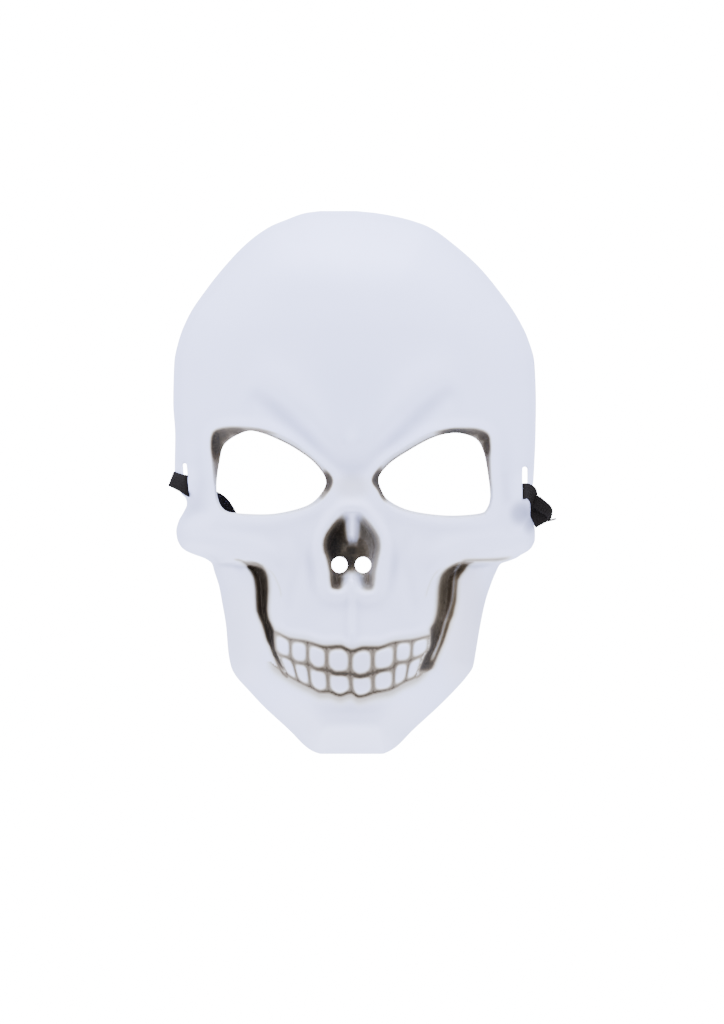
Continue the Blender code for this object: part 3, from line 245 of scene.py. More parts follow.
# the slots the strap is tied through
STRAP_SLOTS = (  # across, up, lean, width in mm
    (-0.4604, 0.5055, 0.08, 1.716), (0.4729, 0.4991, 0, 2.288),
)
NOSTRILS = (  # across, up
    (-0.0375, 0.3484), (0.0273, 0.3481),
)
BROW_CREST = (  # across, up
    (-0.36, 0.664), (-0.3, 0.682), (-0.255, 0.686), (-0.19, 0.664), (-0.105, 0.612), (-0.045, 0.575),
    (-0.006, 0.562), (0.03, 0.575), (0.1, 0.614), (0.185, 0.668), (0.25, 0.692), (0.3, 0.688),
    (0.355, 0.67),
)
# soft hills and dips over the dome: across, up, reaches, and rise as a share of the depth
HILLS = (  # name, across, up, reach across, reach up, rise
    ("nasal bones", -0.003, 0.470, 0.0449, 0.0480, 0.0340),
    ("dip above them", -0.003, 0.515, 0.0718, 0.0260, -0.0375),
    ("between the brows", -0.004, 0.575, 0.0180, 0.0200, 0.0125),
    ("left of the nose", -0.112, 0.345, 0.0203, 0.0360, -0.0188),
    ("right of the nose", 0.112, 0.345, 0.0203, 0.0360, -0.0188),
    ("mouth", -0.003, 0.185, 0.2274, 0.0960, 0.0400),
    ("dip below the lip", -0.003, 0.085, 0.1795, 0.0200, -0.0180),
    ("chin", -0.008, 0.035, 0.1017, 0.0320, 0.0250),
)

# soft folds and ridges along lines over the cheeks and brows
FOLDS = (  # name, half breadth and rise in mm, line: across, up
    ("left of the nose", 2.2, -0.75, ((-0.0799, 0.4438), (-0.1074, 0.3978), (-0.1212, 0.3536),
                                      (-0.1102, 0.3020), (-0.0854, 0.2762))),
    ("right of the nose", 2.2, -0.75, ((0.0771, 0.4438), (0.1019, 0.3978), (0.1129, 0.3481),
                                       (0.1019, 0.3020), (0.0799, 0.2762))),
    ("left cheek fold", 3.0, -0.70, ((-0.1625, 0.4162), (-0.1433, 0.3646), (-0.1680, 0.3020),
                                     (-0.1873, 0.2431))),
    ("right cheek fold", 3.0, -0.70, ((0.1570, 0.4162), (0.1377, 0.3646), (0.1625, 0.3020),
                                      (0.1818, 0.2431))),
    ("under the left eye", 2.0, 0.60, ((-0.3609, 0.4350), (-0.2617, 0.4251), (-0.1460, 0.4370),
                                       (-0.0744, 0.4628))),
    ("under the right eye", 2.0, 0.60, ((0.3609, 0.4330), (0.2590, 0.4231), (0.1433, 0.4370),
                                        (0.0771, 0.4628))),
    ("left cheek bone", 4.0, 0.80, ((-0.4490, 0.4070), (-0.3499, 0.3978), (-0.2452, 0.3794),
                                    (-0.1846, 0.3389))),
    ("right cheek bone", 4.0, 0.80, ((0.4490, 0.4070), (0.3499, 0.3978), (0.2424, 0.3794),
                                     (0.1846, 0.3389))),
    ("between the brows", 1.1, -0.40, ((-0.0331, 0.5820), (-0.0083, 0.5654), (0.0248, 0.5801))),
    ("left temple", 2.2, -0.60, ((-0.4160, 0.5267), (-0.4215, 0.4899), (-0.4325, 0.4530))),
    ("right temple", 2.2, -0.60, ((0.4160, 0.5267), (0.4215, 0.4899), (0.4325, 0.4530))),
)


def curve(rows, column, at):
    """Read one column of a table smoothly at the first column's value."""
    table = np.array(sorted(rows), dtype=float)
    xs, ys = table[:, 0], table[:, column]
    steps = np.diff(xs)
    slopes = np.diff(ys) / steps
    both = slopes[:-1] * slopes[1:]
    total = slopes[:-1] + slopes[1:]
    safe = np.where(np.abs(total) < TINY, 1.0, total)
    bends = np.concatenate([slopes[:1], np.where(both > 0, 2 * both / safe, 0), slopes[-1:]])
    i = np.clip(np.searchsorted(xs, at) - 1, 0, len(steps) - 1)
    t = np.clip((at - xs[i]) / steps[i], 0, 1)
    low = (1 + 2 * t) * (1 - t) ** 2 * ys[i] + t * (1 - t) ** 2 * steps[i] * bends[i]
    high = t * t * (3 - 2 * t) * ys[i + 1] + t * t * (t - 1) * steps[i] * bends[i + 1]
    return low + high


def shares(x, y):
    """Shares of the mask's width and height at places on the plan."""
    return x / MASK_WIDTH, y / MASK_HEIGHT + 0.5


def placed(rows):
    """Shares of the mask's width and height into metres on the plan."""
    table = np.array(rows, dtype=float)[:, :2]
    return table * (MASK_WIDTH, MASK_HEIGHT) - (0, MASK_HEIGHT / 2)


def rounded(points, closed=True, steps=CURVE_STEPS):
    """Smooth curve through the points."""
    count = len(points)
    out = []
    for i in range(count if closed else count - 1):
        near = [(i + k) % count if closed else min(max(i + k, 0), count - 1) for k in (-1, 0, 1, 2)]
        a, b, c, d = points[near]
        for t in np.arange(steps) / steps:
            cubic = (3 * b - a - 3 * c + d) * t ** 3
            out.append(0.5 * (2 * b + (c - a) * t + (2 * a - 5 * b + 4 * c - d) * t * t + cubic))
    if not closed:
        out.append(points[-1])
    return np.array(out)


def drawn(rows):
    """Smooth open line through a table's places."""
    return rounded(placed(rows), False)


def walked(points, spacing, closed=True, least=6):
    """The same curve with even steps, on the plan or in space."""
    line = np.vstack([points, points[:1]]) if closed else points
    cuts = np.concatenate([[0], np.cumsum(np.linalg.norm(np.diff(line[:, :3], axis=0), axis=1))])
    at = np.linspace(0, cuts[-1], max(int(round(cuts[-1] / spacing)), least) + 1)
    even = np.column_stack([np.interp(at, cuts, column) for column in line.T])
    return even[:-1] if closed else even


def distance(line, x, y, closed=False):
    """Distance to a curve, and the share of its length at the nearest place."""
    line = np.vstack([line, line[:1]]) if closed else line
    lengths = np.hypot(*np.diff(line, axis=0).T)
    cuts = np.concatenate([[0], np.cumsum(lengths)])
    best = np.full(np.shape(x), 1e9)
    share = np.zeros(np.shape(x))
    for start, end, length, cut in zip(line[:-1], line[1:], lengths, cuts):
        along = end - start
        dx, dy = x - start[0], y - start[1]
        t = np.clip((dx * along[0] + dy * along[1]) / (along @ along + TINY ** 2), 0, 1)
        gap = np.hypot(dx - t * along[0], dy - t * along[1])
        closer = gap < best
        best = np.where(closer, gap, best)
        share = np.where(closer, (cut + t * length) / cuts[-1], share)
    return best, share


def within(loop, x, y):
    """Whether the places lie inside a closed curve."""
    inside = np.zeros(np.shape(x), dtype=bool)
    for start, end in zip(loop, np.roll(loop, -1, axis=0)):
        crosses = (start[1] > y) != (end[1] > y)
        run = (end[0] - start[0]) * (y - start[1])
        rise = end[1] - start[1]
        at = start[0] + run / (rise if abs(rise) > TINY else TINY)
        inside ^= crosses & (x < at)
    return inside


def signed(loop, x, y):
    """Distance to a closed curve, negative inside it."""
    gap, _ = distance(loop, x, y, closed=True)
    return np.where(within(loop, x, y), -gap, gap)


def ease(low, high, value):
    """From 0 to 1 without a corner."""
    t = np.clip((value - low) / (high - low), 0, 1)
    return t * t * (3 - 2 * t)


def between(low, high, share):
    """The value that lies a share of the way from low to high."""
    return low + (high - low) * share


def bump(gap, breadth):
    """A rounded ridge over a distance."""
    return np.exp(-(gap / breadth) ** 2)


def lesser(a, b, blend):
    """The smaller of two heights with a rounded join."""
    h = np.clip(0.5 + 0.5 * (b - a) / blend, 0, 1)
    return b * (1 - h) + a * h - blend * h * (1 - h)


def outline_loop():
    """The rim in plan, down the left side and up the right."""
    ups = np.array([row[0] for row in OUTLINE])
    fine = np.concatenate([np.linspace(a, b, 6)[:-1] for a, b in zip(ups[:-1], ups[1:])] + [ups[-1:]])
    left = np.column_stack([-curve(OUTLINE, 1, fine), fine])
    right = np.column_stack([curve(OUTLINE, 2, fine), fine])[::-1]
    return placed(np.vstack([left, right]))


LOOPS = {
    "outline": outline_loop(),
    "eye_left": rounded(placed(EYE_LEFT)),
    "eye_right": rounded(placed(EYE_RIGHT)),
    "socket_left": rounded(placed(SOCKET_LEFT)),
    "socket_right": rounded(placed(SOCKET_RIGHT)),
    "nose": rounded(placed(NOSE_CAVITY)),
}
CREST = drawn(BROW_CREST)
CHEEK_EDGE = (drawn(CHEEK_EDGE_LEFT), drawn(CHEEK_EDGE_RIGHT))


def spot(across, up):
    """One place on the plan."""
    return across * MASK_WIDTH, (up - 0.5) * MASK_HEIGHT


def hill_height(x, y):
    """Soft oval hills and dips over the dome."""
    rise = np.zeros(np.shape(x))
    for _, across, up, reach_across, reach_up, height in HILLS:
        cx, cy = spot(across, up)
        far = ((x - cx) / (reach_across * MASK_WIDTH)) ** 2 + ((y - cy) / (reach_up * MASK_HEIGHT)) ** 2
        rise += height * MASK_DEPTH * np.exp(-far)
    return rise


def fold_height(x, y):
    """Folds and ridges that fade out at both ends."""
    rise = np.zeros(np.shape(x))
    for _, breadth, height, line in FOLDS:
        gap, run = distance(drawn(line), x, y)
        fade = ease(0, FOLD_ENDS, run) * (1 - ease(1 - FOLD_ENDS, 1, run))
        rise += height * MM * fade * bump(gap, breadth * MM)
    return rise


def dome_height(x, y):
    """The plain dome of the face."""
    _, up = shares(x, y)
    q = np.clip(np.abs(x) / (curve(DOME, 2, up) * MASK_WIDTH), 0, 1.2)
    return curve(DOME, 1, up) * MASK_DEPTH * (1 - q ** curve(DOME, 3, up))


def brow_height(x, y):
    """Crests that run down to the root of the nose, with a hollow below each."""
    gap, _ = distance(CREST, x, y)
    crest = CREST[np.argsort(CREST[:, 0])]
    gap = np.where(y < np.interp(x, crest[:, 0], crest[:, 1]), gap, -gap)
    aside = np.abs(x) / MASK_WIDTH
    middle = between(BROW_MIDDLE_RISE, 1, ease(*BROW_MIDDLE, aside))
    fade = (1 - ease(*BROW_ENDS, aside)) * middle
    slope = np.where(gap > 0, BROW_SLOPE_BELOW, BROW_SLOPE_ABOVE)
    return fade * BROW_RISE * (bump(gap, slope) - bump(gap - BROW_HOLLOW_PLACE, BROW_HOLLOW_BREADTH))


def socket_height(x, y):
    """Raised lips round the sockets, and the sockets that dive to the openings."""
    rise = np.zeros(np.shape(x))
    top = ease(*LIP_TURN, shares(x, y)[1])
    lip = SOCKET_LIP_RISE * between(LOWER_LIP_RISE, 1, top)
    breadth = SOCKET_LIP_BREADTH * between(LOWER_LIP_BREADTH, 1, top)
    for side in ("left", "right"):
        gap = signed(LOOPS["socket_" + side], x, y)
        ledge = np.maximum(signed(LOOPS["eye_" + side], x, y), 0) - gap
        rise += np.where(gap > 0, lip * bump(gap, breadth), lip)
        inward = np.clip(-gap / np.maximum(ledge, SOCKET_LEDGE), 0, 1)
        room = np.clip(ledge / SOCKET_LEDGE_FULL, LEAST_SOCKET, 1)
        rise -= np.where(gap < 0, SOCKET_DEPTH * room * (1 - (1 - inward) ** 2), 0)
    return rise


def nose_height(x, y):
    """The nose's raised lip, the cavity with its upper spike and its spine, and the ridge below."""
    _, up = shares(x, y)
    cavity = signed(LOOPS["nose"], x, y)
    rise = NOSE_LIP_RISE * np.where(cavity > 0, bump(cavity - NOSE_LIP_PLACE, NOSE_LIP_BREADTH), 0)
    floor = NOSE_DEPTH * ease(NOSE_WALL_START, -NOSE_WALL, cavity)
    cx, top = spot(*SPIKE_TOP)
    share = np.clip((top - y) / (top - spot(0, SPIKE_END)[1]), 0, 1.15)
    half = SPIKE_HALF * np.sqrt(np.clip(1.05 - share, 0, 1)) + SPIKE_TIP
    spike = bump(x - cx, half) * (1 - ease(0.8, 1.15, share))
    floor *= 1 - SPIKE_FULL * np.where(y < top + SPIKE_HALF, spike, 1.0)
    cx, foot = spot(*SPINE_PLACE)
    share = (y - foot) / SPINE_HEIGHT
    width = SPINE_HALF + SPINE_FOOT * (1 - np.clip(share, 0, 1)) ** 1.5
    floor *= 1 - SPINE_FULL * bump(x - cx, width) * (1 - ease(-0.2, 1.0, share))
    below = (up < LIP_RIDGE_TOP) * ease(*LIP_RIDGE_FOOT, up)
    return rise - floor + MIDLINE_RISE * below * bump(x - spot(FACE_MIDDLE, 0)[0], MIDLINE_HALF)


def cheek_height(x, y):
    """Cheek bones with a crisp lower edge, and the drop to the jaw."""
    rise = np.zeros(np.shape(x))
    aside = np.abs(x) / MASK_WIDTH
    fade = ease(*CHEEK_FADE, aside)
    for side, edge in zip((-1, 1), CHEEK_EDGE):
        gap, _ = distance(edge, x, y)
        outside = side * MASK_WIDTH
        corners = [[edge[-1][0], -MASK_HEIGHT], [outside, -MASK_HEIGHT], [outside, edge[0][1]]]
        below = within(np.vstack([edge, corners]), x, y)
        drop = np.where(below, ease(0, CHEEK_EDGE_BREADTH, gap), 0)
        swell = np.where(below, 1 - drop, bump(gap, CHEEK_SWELL))
        rise += CHEEK_RISE * ease(*CHEEK_GROWTH, aside) * fade * swell
        rise -= CHEEK_DROP * fade * drop * bump(gap, JAW_RECOVERY)
    return rise


def hollow_gaps(rows, x, up):
    """Distances inwards from a hollow's inner edge and from its outer one."""
    outer = curve(rows, 1, up) * MASK_WIDTH
    inner = curve(rows, 2, up) * MASK_WIDTH
    share = (x - inner) / (outer - inner)
    span = np.abs(outer - inner)
    return share * span, (1 - share) * span


def hollow_ends(rows, up, foot, top):
    """From 0 to 1 at a hollow's foot and back to 0 at its top, over the given steps past its rows."""
    first, last = rows[0][0], rows[-1][0]
    return ease(last + foot[0], last + foot[1], up) * (1 - ease(first + top[0], first + top[1], up))


def hollow_height(x, y):
    """The dark hollows between jaw and teeth."""
    _, up = shares(x, y)
    rise = np.zeros(np.shape(x))
    for outer_edge, rows in zip(HOLLOW_OUTER_EDGES, (SLOT_LEFT, SLOT_RIGHT)):
        from_inner, from_outer = hollow_gaps(rows, x, up)
        depth = curve(rows, 3, up) * MASK_DEPTH * hollow_ends(rows, up, HOLLOW_FOOT, HOLLOW_TOP)
        depth *= ease(-HOLLOW_START, HOLLOW_INNER_EDGE, from_inner)
        rise -= depth * ease(-HOLLOW_START, outer_edge, from_outer)
    return rise


def tooth_cells(x, y):
    """Place inside a tooth as shares across and down from -1 to 1, and whether it lies in one."""
    across, up = shares(x, y)
    gum, bite, low = (curve(rows, 1, across) for rows in (GUM_UPPER, BITE, GUM_LOWER))
    cell_a = np.full(np.shape(x), 9.0)
    cell_b = np.full(np.shape(x), 9.0)
    found = np.zeros(np.shape(x), dtype=bool)
    for gaps, top, foot in ((GAPS_UPPER, gum, bite), (GAPS_LOWER, bite, low)):
        down = (top - up) / (top - foot)
        edges = [a + (c - a) * np.clip(down, 0, 1) for a, _, c, _ in gaps]
        for left, right in zip(edges[:-1], edges[1:]):
            inside = (across >= left) & (across < right) & (down >= 0) & (down <= 1)
            cell_a = np.where(inside, 2 * (across - left) / (right - left) - 1, cell_a)
            cell_b = np.where(inside, 2 * down - 1, cell_b)
            found |= inside
    return cell_a, cell_b, found


def tooth_ring(a, b):
    """How far from a tooth's middle a place lies, in rings that are squared off as the tooth is."""
    return (np.abs(a) ** TOOTH_SQUARENESS + np.abs(b) ** TOOTH_SQUARENESS) ** (1 / TOOTH_SQUARENESS)


def teeth_height(x, y):
    """Each tooth as a pillow between grooves, and the gums' edge beside them."""
    across, up = shares(x, y)
    a, b, inside = tooth_cells(x, y)
    pillow = TOOTH_RELIEF * (1 - ease(TOOTH_FLAT, 1.0, tooth_ring(a, b)) ** 1.2)
    gum, low = (np.abs(up - curve(rows, 1, across)) for rows in (GUM_UPPER, GUM_LOWER))
    sides = 1 - ease(*GUM_SIDES, np.abs(across - FACE_MIDDLE))
    gums = sides * GUM_RISE * bump(np.minimum(gum, low) * MASK_HEIGHT - GUM_PLACE, GUM_BREADTH)
    return np.where(inside, pillow, gums)


def rim_lift(x, y):
    """How far the rim stands off the ground."""
    _, up = shares(x, y)
    lift = np.zeros(np.shape(x))
    for side, middle, half in RIM_ARCH:
        share = np.clip(np.abs(up - middle) / half, 0, 1)
        lift = np.where(x * side > 0, RIM_LIFT * (1 - share ** 2) ** 2, lift)
    return lift


def face_height(x, y):
    """Height of the mask's outer face over a place on the plan."""
    _, up = shares(x, y)
    inward = np.maximum(-signed(LOOPS["outline"], x, y), 0)
    reach = curve(RIM_WALL, 1, up) * MASK_HEIGHT
    wall = WALL_TOP * MASK_DEPTH * (1 - (1 - np.clip(inward / reach, 0, 1)) ** WALL_CURVE)
    form = np.maximum(lesser(dome_height(x, y), wall, FORM_BLEND), 0)
    reliefs = (brow_height, socket_height, nose_height, cheek_height, hollow_height, teeth_height)
    detail = sum(relief(x, y) for relief in reliefs + (hill_height, fold_height))
    lift = rim_lift(x, y) * (1 - ease(0, ARCH_CALM, inward))
    return np.maximum(form + detail * ease(0, RIM_CALM, inward), 0) + lift


# sizes of the elastic, in metres
BAND_WIDTH = 0.0080
BAND_THICK = 0.0008

# the strap behind the mask, from the left tie to the right one, lying on the ground
BAND_ROUTE = (  # across, up, height above the ground in band thicknesses
    (-0.403, 0.4718, 3.2), (-0.386, 0.469, 2.4), (-0.3636, 0.4593, 1.5), (-0.3408, 0.435, 0.9),
    (-0.3209, 0.3996, 0.9), (-0.303, 0.3573, 0.9), (-0.2782, 0.302, 0.9), (-0.2342, 0.2284, 0.9),
    (-0.168, 0.1584, 0.9), (-0.0854, 0.1123, 0.9), (0, 0.0958, 0.9), (0.0854, 0.1123, 0.9),
    (0.1625, 0.1584, 0.9), (0.2287, 0.2284, 0.9), (0.281, 0.302, 0.9), (0.3223, 0.3628, 0.9),
    (0.3747, 0.4125, 1), (0.4353, 0.4457, 1.5), (0.4898, 0.4595, 2.2),
)

# spacing of the shell's mesh, in metres
RIM_STEP = 0.0012
HOLE_STEP = 0.0008
PLAIN_STEP = 0.00135
MIDDLE_STEP = 0.00085
DETAIL_STEP = 0.00052
INSIDE_STEP = 0.0018
EDGE_ROUND = 0.00028
HEIGHT_CELL = 0.0006
RIM_INSET = 1.25 * WALL
LEAST_HEIGHT = 0.0004
# height of an even triangle as a share of its side, and points round the small holes
ROW_STEP = 0.866
NOSTRIL_POINTS = 36
SLOT_POINTS = 28
# how near to a fine form the mesh is fine, then middling, and how far each form's fine part reaches
FINE_REACH = (0.0004, 0.0026)
SOCKET_MARGIN = 0.0030
NOSE_MARGIN = 0.0035
HOLLOW_MARGIN = 0.0050
CHEEK_MARGIN = 0.0030
MOUTH_HALF = 0.24
MOUTH_PLACE = 0.170
MOUTH_BOW = 1.05
MOUTH_REACH = 0.068

# painted shade: a thin grey coat that darkens the hollows of the relief and is left off its ridges, so that
# they read lighter
CREASE_SHADE = 0.05
CREASE_SHADE_GAIN = 0.30
CREASE_SHADE_BLUR = 26
CREASE_SHADE_LIMIT = 0.45
CREASE_SHADE_RIM = (0.0010, 0.0060)


def to_space(points, heights):
    """Plan places drawn in towards the view axis with their height, as the eye sees them."""
    shrink = 1 - np.asarray(heights) / VIEW_HEIGHT
    flat = VIEW_CENTRE + (np.asarray(points) - VIEW_CENTRE) * shrink[:, None]
    return np.column_stack([flat[:, 0] - MIDLINE_OFFSET, flat[:, 1], heights])


def slot_loop(across, up, lean, width):
    """A strap slot with round ends."""
    cx, cy = spot(across, up)
    radius = width * MM / 2
    loop = []
    for i in range(SLOT_POINTS):
        turn = math.tau * (i + 0.5) / SLOT_POINTS
        dy = radius * math.sin(turn) + math.copysign(STRAP_SLOT_LENGTH / 2 - radius, math.sin(turn))
        loop.append((cx + radius * math.cos(turn) - lean * dy, cy + dy))
    return walked(np.array(loop), HOLE_STEP)


def nostril_loop(across, up):
    """A round nostril hole on the plan."""
    turns = np.arange(NOSTRIL_POINTS) * math.tau / NOSTRIL_POINTS
    return spot(across, up) + NOSTRIL_DIAMETER / 2 * np.column_stack([np.cos(turns), np.sin(turns)])


def hole_loops():
    """Every opening through the shell."""
    loops = [walked(LOOPS["eye_left"], HOLE_STEP), walked(LOOPS["eye_right"], HOLE_STEP)]
    return loops + [nostril_loop(*row) for row in NOSTRILS] + [slot_loop(*row) for row in STRAP_SLOTS]


def lattice(step):
    """Even rows of places over the whole mask."""
    rows = []
    for j in range(int(MASK_HEIGHT / (step * ROW_STEP)) + 2):
        xs = np.arange(-MASK_WIDTH * 0.55, MASK_WIDTH * 0.55, step) + (j % 2) * step / 2
        rows.append(np.column_stack([xs, np.full(len(xs), j * step * ROW_STEP - MASK_HEIGHT / 2)]))
    return np.vstack(rows)


def detail_gap(x, y):
    """Distance to the nearest fine form, negative inside it."""
    across, up = shares(x, y)
    aside = np.abs(across - FACE_MIDDLE)
    mouth = np.maximum(aside - MOUTH_HALF, np.abs(up - MOUTH_PLACE - MOUTH_BOW * aside ** 2) - MOUTH_REACH)
    gaps = [mouth * MASK_WIDTH, signed(LOOPS["nose"], x, y) - NOSE_MARGIN]
    gaps += [np.abs(signed(LOOPS["socket_" + side], x, y)) - SOCKET_MARGIN for side in ("left", "right")]
    for rows in (SLOT_LEFT, SLOT_RIGHT):
        line = placed([((outer + inner) / 2, height) for height, outer, inner, _ in rows])
        gaps.append(distance(line, x, y)[0] - HOLLOW_MARGIN)
    gaps += [distance(edge, x, y)[0] - CHEEK_MARGIN for edge in CHEEK_EDGE]
    return np.min(gaps, axis=0)


def inward_way(loop):
    """Unit steps from a closed curve to its inside."""
    ahead = np.roll(loop, -1, axis=0) - np.roll(loop, 1, axis=0)
    way = np.column_stack([-ahead[:, 1], ahead[:, 0]]) / np.hypot(ahead[:, 0], ahead[:, 1])[:, None]
    probe = loop + way * 0.1 * MM
    return way * np.where(within(loop, probe[:, 0], probe[:, 1]), 1, -1)[:, None]


def cut_plan(loops, places):
    """Triangles over the plan between an outer loop and the holes in it."""
    every = np.vstack(loops + [places])
    edges = []
    first = 0
    for loop in loops:
        count = len(loop)
        edges += [(first + i, first + (i + 1) % count) for i in range(count)]
        first += count
    found = geometry.delaunay_2d_cdt([Vector(p) for p in every], edges, [], 0, 1e-7, False)
    plan = np.array([tuple(p) for p in found[0]])
    triangles = np.array(found[2])
    middle = plan[triangles].mean(axis=1)
    keep = within(loops[0], middle[:, 0], middle[:, 1])
    for loop in loops[1:]:
        keep &= ~within(loop, middle[:, 0], middle[:, 1])
    return plan, triangles[keep]


def outer_places(rim, holes):
    """Places for the outer face's points, close together where the face has fine forms."""
    out = []
    fine, middling = FINE_REACH
    zones = ((PLAIN_STEP, middling, 1), (MIDDLE_STEP, fine, middling), (DETAIL_STEP, -1, fine))
    for step, low, high in zones:
        grid = lattice(step)
        grid = grid[signed(LOOPS["outline"][::4], *grid.T) < 1 * MM]
        gap = detail_gap(*grid.T)
        grid = grid[(gap >= low) & (gap < high)]
        keep = signed(rim, *grid.T) < -0.5 * RIM_STEP
        for loop in holes:
            keep &= signed(loop, *grid.T) > 0.5 * HOLE_STEP
        out.append(grid[keep])
    return np.vstack(out)


class HeightField:
    """Heights on an even grid, read between its places."""

    def __init__(self, heights, low, cell):
        self.heights, self.low, self.cell = heights, low, cell

    def read(self, x, y):
        """The heights at any places."""
        column = np.clip((x - self.low[0]) / self.cell, 0, self.heights.shape[1] - 1.001)
        row = np.clip((y - self.low[1]) / self.cell, 0, self.heights.shape[0] - 1.001)
        i, j = column.astype(int), row.astype(int)
        s, t = column - i, row - j
        h = self.heights
        return ((h[j, i] * (1 - s) + h[j, i + 1] * s) * (1 - t)
                + (h[j + 1, i] * (1 - s) + h[j + 1, i + 1] * s) * t)


def blurred(grid, times):
    """The grid after many small blurs."""
    for _ in range(times):
        for _ in range(2):
            wide = np.pad(grid, ((0, 0), (1, 1)), mode="edge")
            grid = ((wide[:, :-2] + 2 * wide[:, 1:-1] + wide[:, 2:]) / 4).T
    return grid


def inside_field():
    """The inner face, as a ball of the wall's size leaves it when rolled under the outer one.

    With it comes the painted shade that darkens the hollows of the outer face.
    """
    low = np.array([-MASK_WIDTH / 2 - 4 * MM, -MASK_HEIGHT / 2 - 4 * MM])
    xs = np.arange(low[0], MASK_WIDTH / 2 + 4 * MM, HEIGHT_CELL)
    ys = np.arange(low[1], MASK_HEIGHT / 2 + 4 * MM, HEIGHT_CELL)
    x, y = np.meshgrid(xs, ys)
    top = face_height(x.ravel(), y.ravel()).reshape(x.shape)
    reach = int(WALL / HEIGHT_CELL) + 1
    under = top - WALL
    padded = np.pad(top, reach, mode="edge")
    for j in range(-reach, reach + 1):
        for i in range(-reach, reach + 1):
            away = math.hypot(i, j) * HEIGHT_CELL
            if 0 < away <= WALL:
                moved = padded[reach + j:reach + j + top.shape[0], reach + i:reach + i + top.shape[1]]
                under = np.minimum(under, moved - math.sqrt(WALL ** 2 - away ** 2))
    inward = -signed(LOOPS["outline"], x.ravel(), y.ravel()).reshape(x.shape)
    # painted shade: grey where the face is hollow, less on its ridges
    ridge = (top - blurred(top, CREASE_SHADE_BLUR)) / MM * ease(*CREASE_SHADE_RIM, inward)
    painted_crease_shade = np.clip(CREASE_SHADE - CREASE_SHADE_GAIN * ridge, 0, CREASE_SHADE_LIMIT)
    return HeightField(under, low, HEIGHT_CELL), HeightField(painted_crease_shade, low, HEIGHT_CELL)


def new_object(name, points, faces, material):
    """A smooth mesh object of its own material, at the origin."""
    mesh = bpy.data.meshes.new(name)
    mesh.from_pydata(np.asarray(points, dtype=float).tolist(), [], [tuple(int(i) for i in f) for f in faces])
    mesh.validate()
    work = bmesh.new()
    work.from_mesh(mesh)
    bmesh.ops.recalc_face_normals(work, faces=work.faces)
    work.to_mesh(mesh)
    work.free()
    mesh.polygons.foreach_set("use_smooth", [True] * len(mesh.polygons))
    obj = bpy.data.objects.new(name, mesh)
    bpy.context.scene.collection.objects.link(obj)
    mesh.materials.append(material)
    return obj


def strip_faces(first, second, count):
    """Quads between two closed rows of points."""
    around = [(i, (i + 1) % count) for i in range(count)]
    return [(first + i, first + j, second + j, second + i) for i, j in around]


def build_shell(material):
    """The moulded shell: fine outer face, plainer inner face, rounded edges round each opening."""
    rim = walked(LOOPS["outline"], RIM_STEP)
    inward = inward_way(rim)
    holes = hole_loops()
    lips = [loop - inward_way(loop) * EDGE_ROUND for loop in holes]
    rim_lip = rim + inward * EDGE_ROUND
    plan, triangles = cut_plan([rim_lip] + lips, outer_places(rim_lip, lips))
    rim_in = rim + inward * RIM_INSET
    grid = lattice(INSIDE_STEP)
    keep = signed(rim_in, *grid.T) < -0.6 * INSIDE_STEP
    for loop in holes:
        keep &= signed(loop, *grid.T) > 0.5 * INSIDE_STEP
    plan_in, triangles_in = cut_plan([rim_in] + lips, grid[keep])
    field, painted_crease_shade = inside_field()
    size = len(rim)
    lift = rim_lift(*rim.T)
    under = np.maximum(field.read(*plan_in.T), LEAST_HEIGHT)
    under[:size] = lift
    points = [to_space(plan, face_height(*plan.T)), to_space(plan_in, under)]
    points += [to_space(rim, lift + EDGE_ROUND), to_space(rim_lip, lift)]
    faces = [tuple(t) for t in triangles] + [tuple(t[::-1] + len(plan)) for t in triangles_in]
    total = len(plan) + len(plan_in)
    faces += strip_faces(0, total, size) + strip_faces(total, total + size, size)
    faces += strip_faces(total + size, len(plan), size)
    total += 2 * size
    first = size
    for loop, lip in zip(holes, lips):
        count = len(loop)
        upper = face_height(*lip.T) - EDGE_ROUND
        lower = np.minimum(field.read(*lip.T) + EDGE_ROUND, upper - EDGE_ROUND)
        points += [to_space(loop, upper), to_space(loop, lower)]
        faces += strip_faces(first, total, count) + strip_faces(total, total + count, count)
        faces += strip_faces(total + count, len(plan) + first, count)
        first += count
        total += 2 * count
    shell = new_object("skull_shell", np.vstack(points), faces, material)
    painted = np.vstack([plan] + [place for loop in holes for place in (loop, loop)])
    # the paint attribute holds the brown-black paint with painted shade in it, the grey painted shade, and
    # the warm tint
    cover = np.column_stack(paint_and_shade_masks(*painted.T))
    # the painted shade in the creases of the relief joins the grey painted shade
    cover[:, 1] = np.clip(cover[:, 1] + painted_crease_shade.read(*painted.T), 0, 1)
    colours = np.zeros((len(shell.data.vertices), 4), dtype=np.float32)
    colours[:, 3] = 1
    colours[:len(plan), :3] = cover[:len(plan)]
    colours[len(plan) + len(plan_in) + 2 * size:, :3] = cover[len(plan):]
    attribute = shell.data.color_attributes.new("paint", "FLOAT_COLOR", "POINT")
    attribute.data.foreach_set("color", colours.ravel())
    return shell


# airbrushed paint as flat-topped ovals; the strength is the density of the coat
SOCKET_PAINT = (  # across, up, reach across, reach up, strength
    (-0.378, 0.574, 0.027, 0.044, 0.96), (-0.383, 0.54, 0.022, 0.046, 0.5),
    (-0.362, 0.589, 0.032, 0.021, 0.88), (-0.342, 0.596, 0.06, 0.013, 0.8),
    (-0.27, 0.596, 0.08, 0.011, 0.52), (-0.068, 0.501, 0.022, 0.026, 0.85), (-0.08, 0.486, 0.02, 0.02, 0.5),
    (0.373, 0.576, 0.02, 0.037, 0.88), (0.378, 0.54, 0.017, 0.052, 0.6), (0.36, 0.589, 0.025, 0.018, 0.88),
    (0.335, 0.595, 0.054, 0.012, 0.84), (0.285, 0.593, 0.056, 0.012, 0.95),
    (0.063, 0.505, 0.029, 0.027, 0.9), (0.074, 0.486, 0.027, 0.026, 0.86),
)
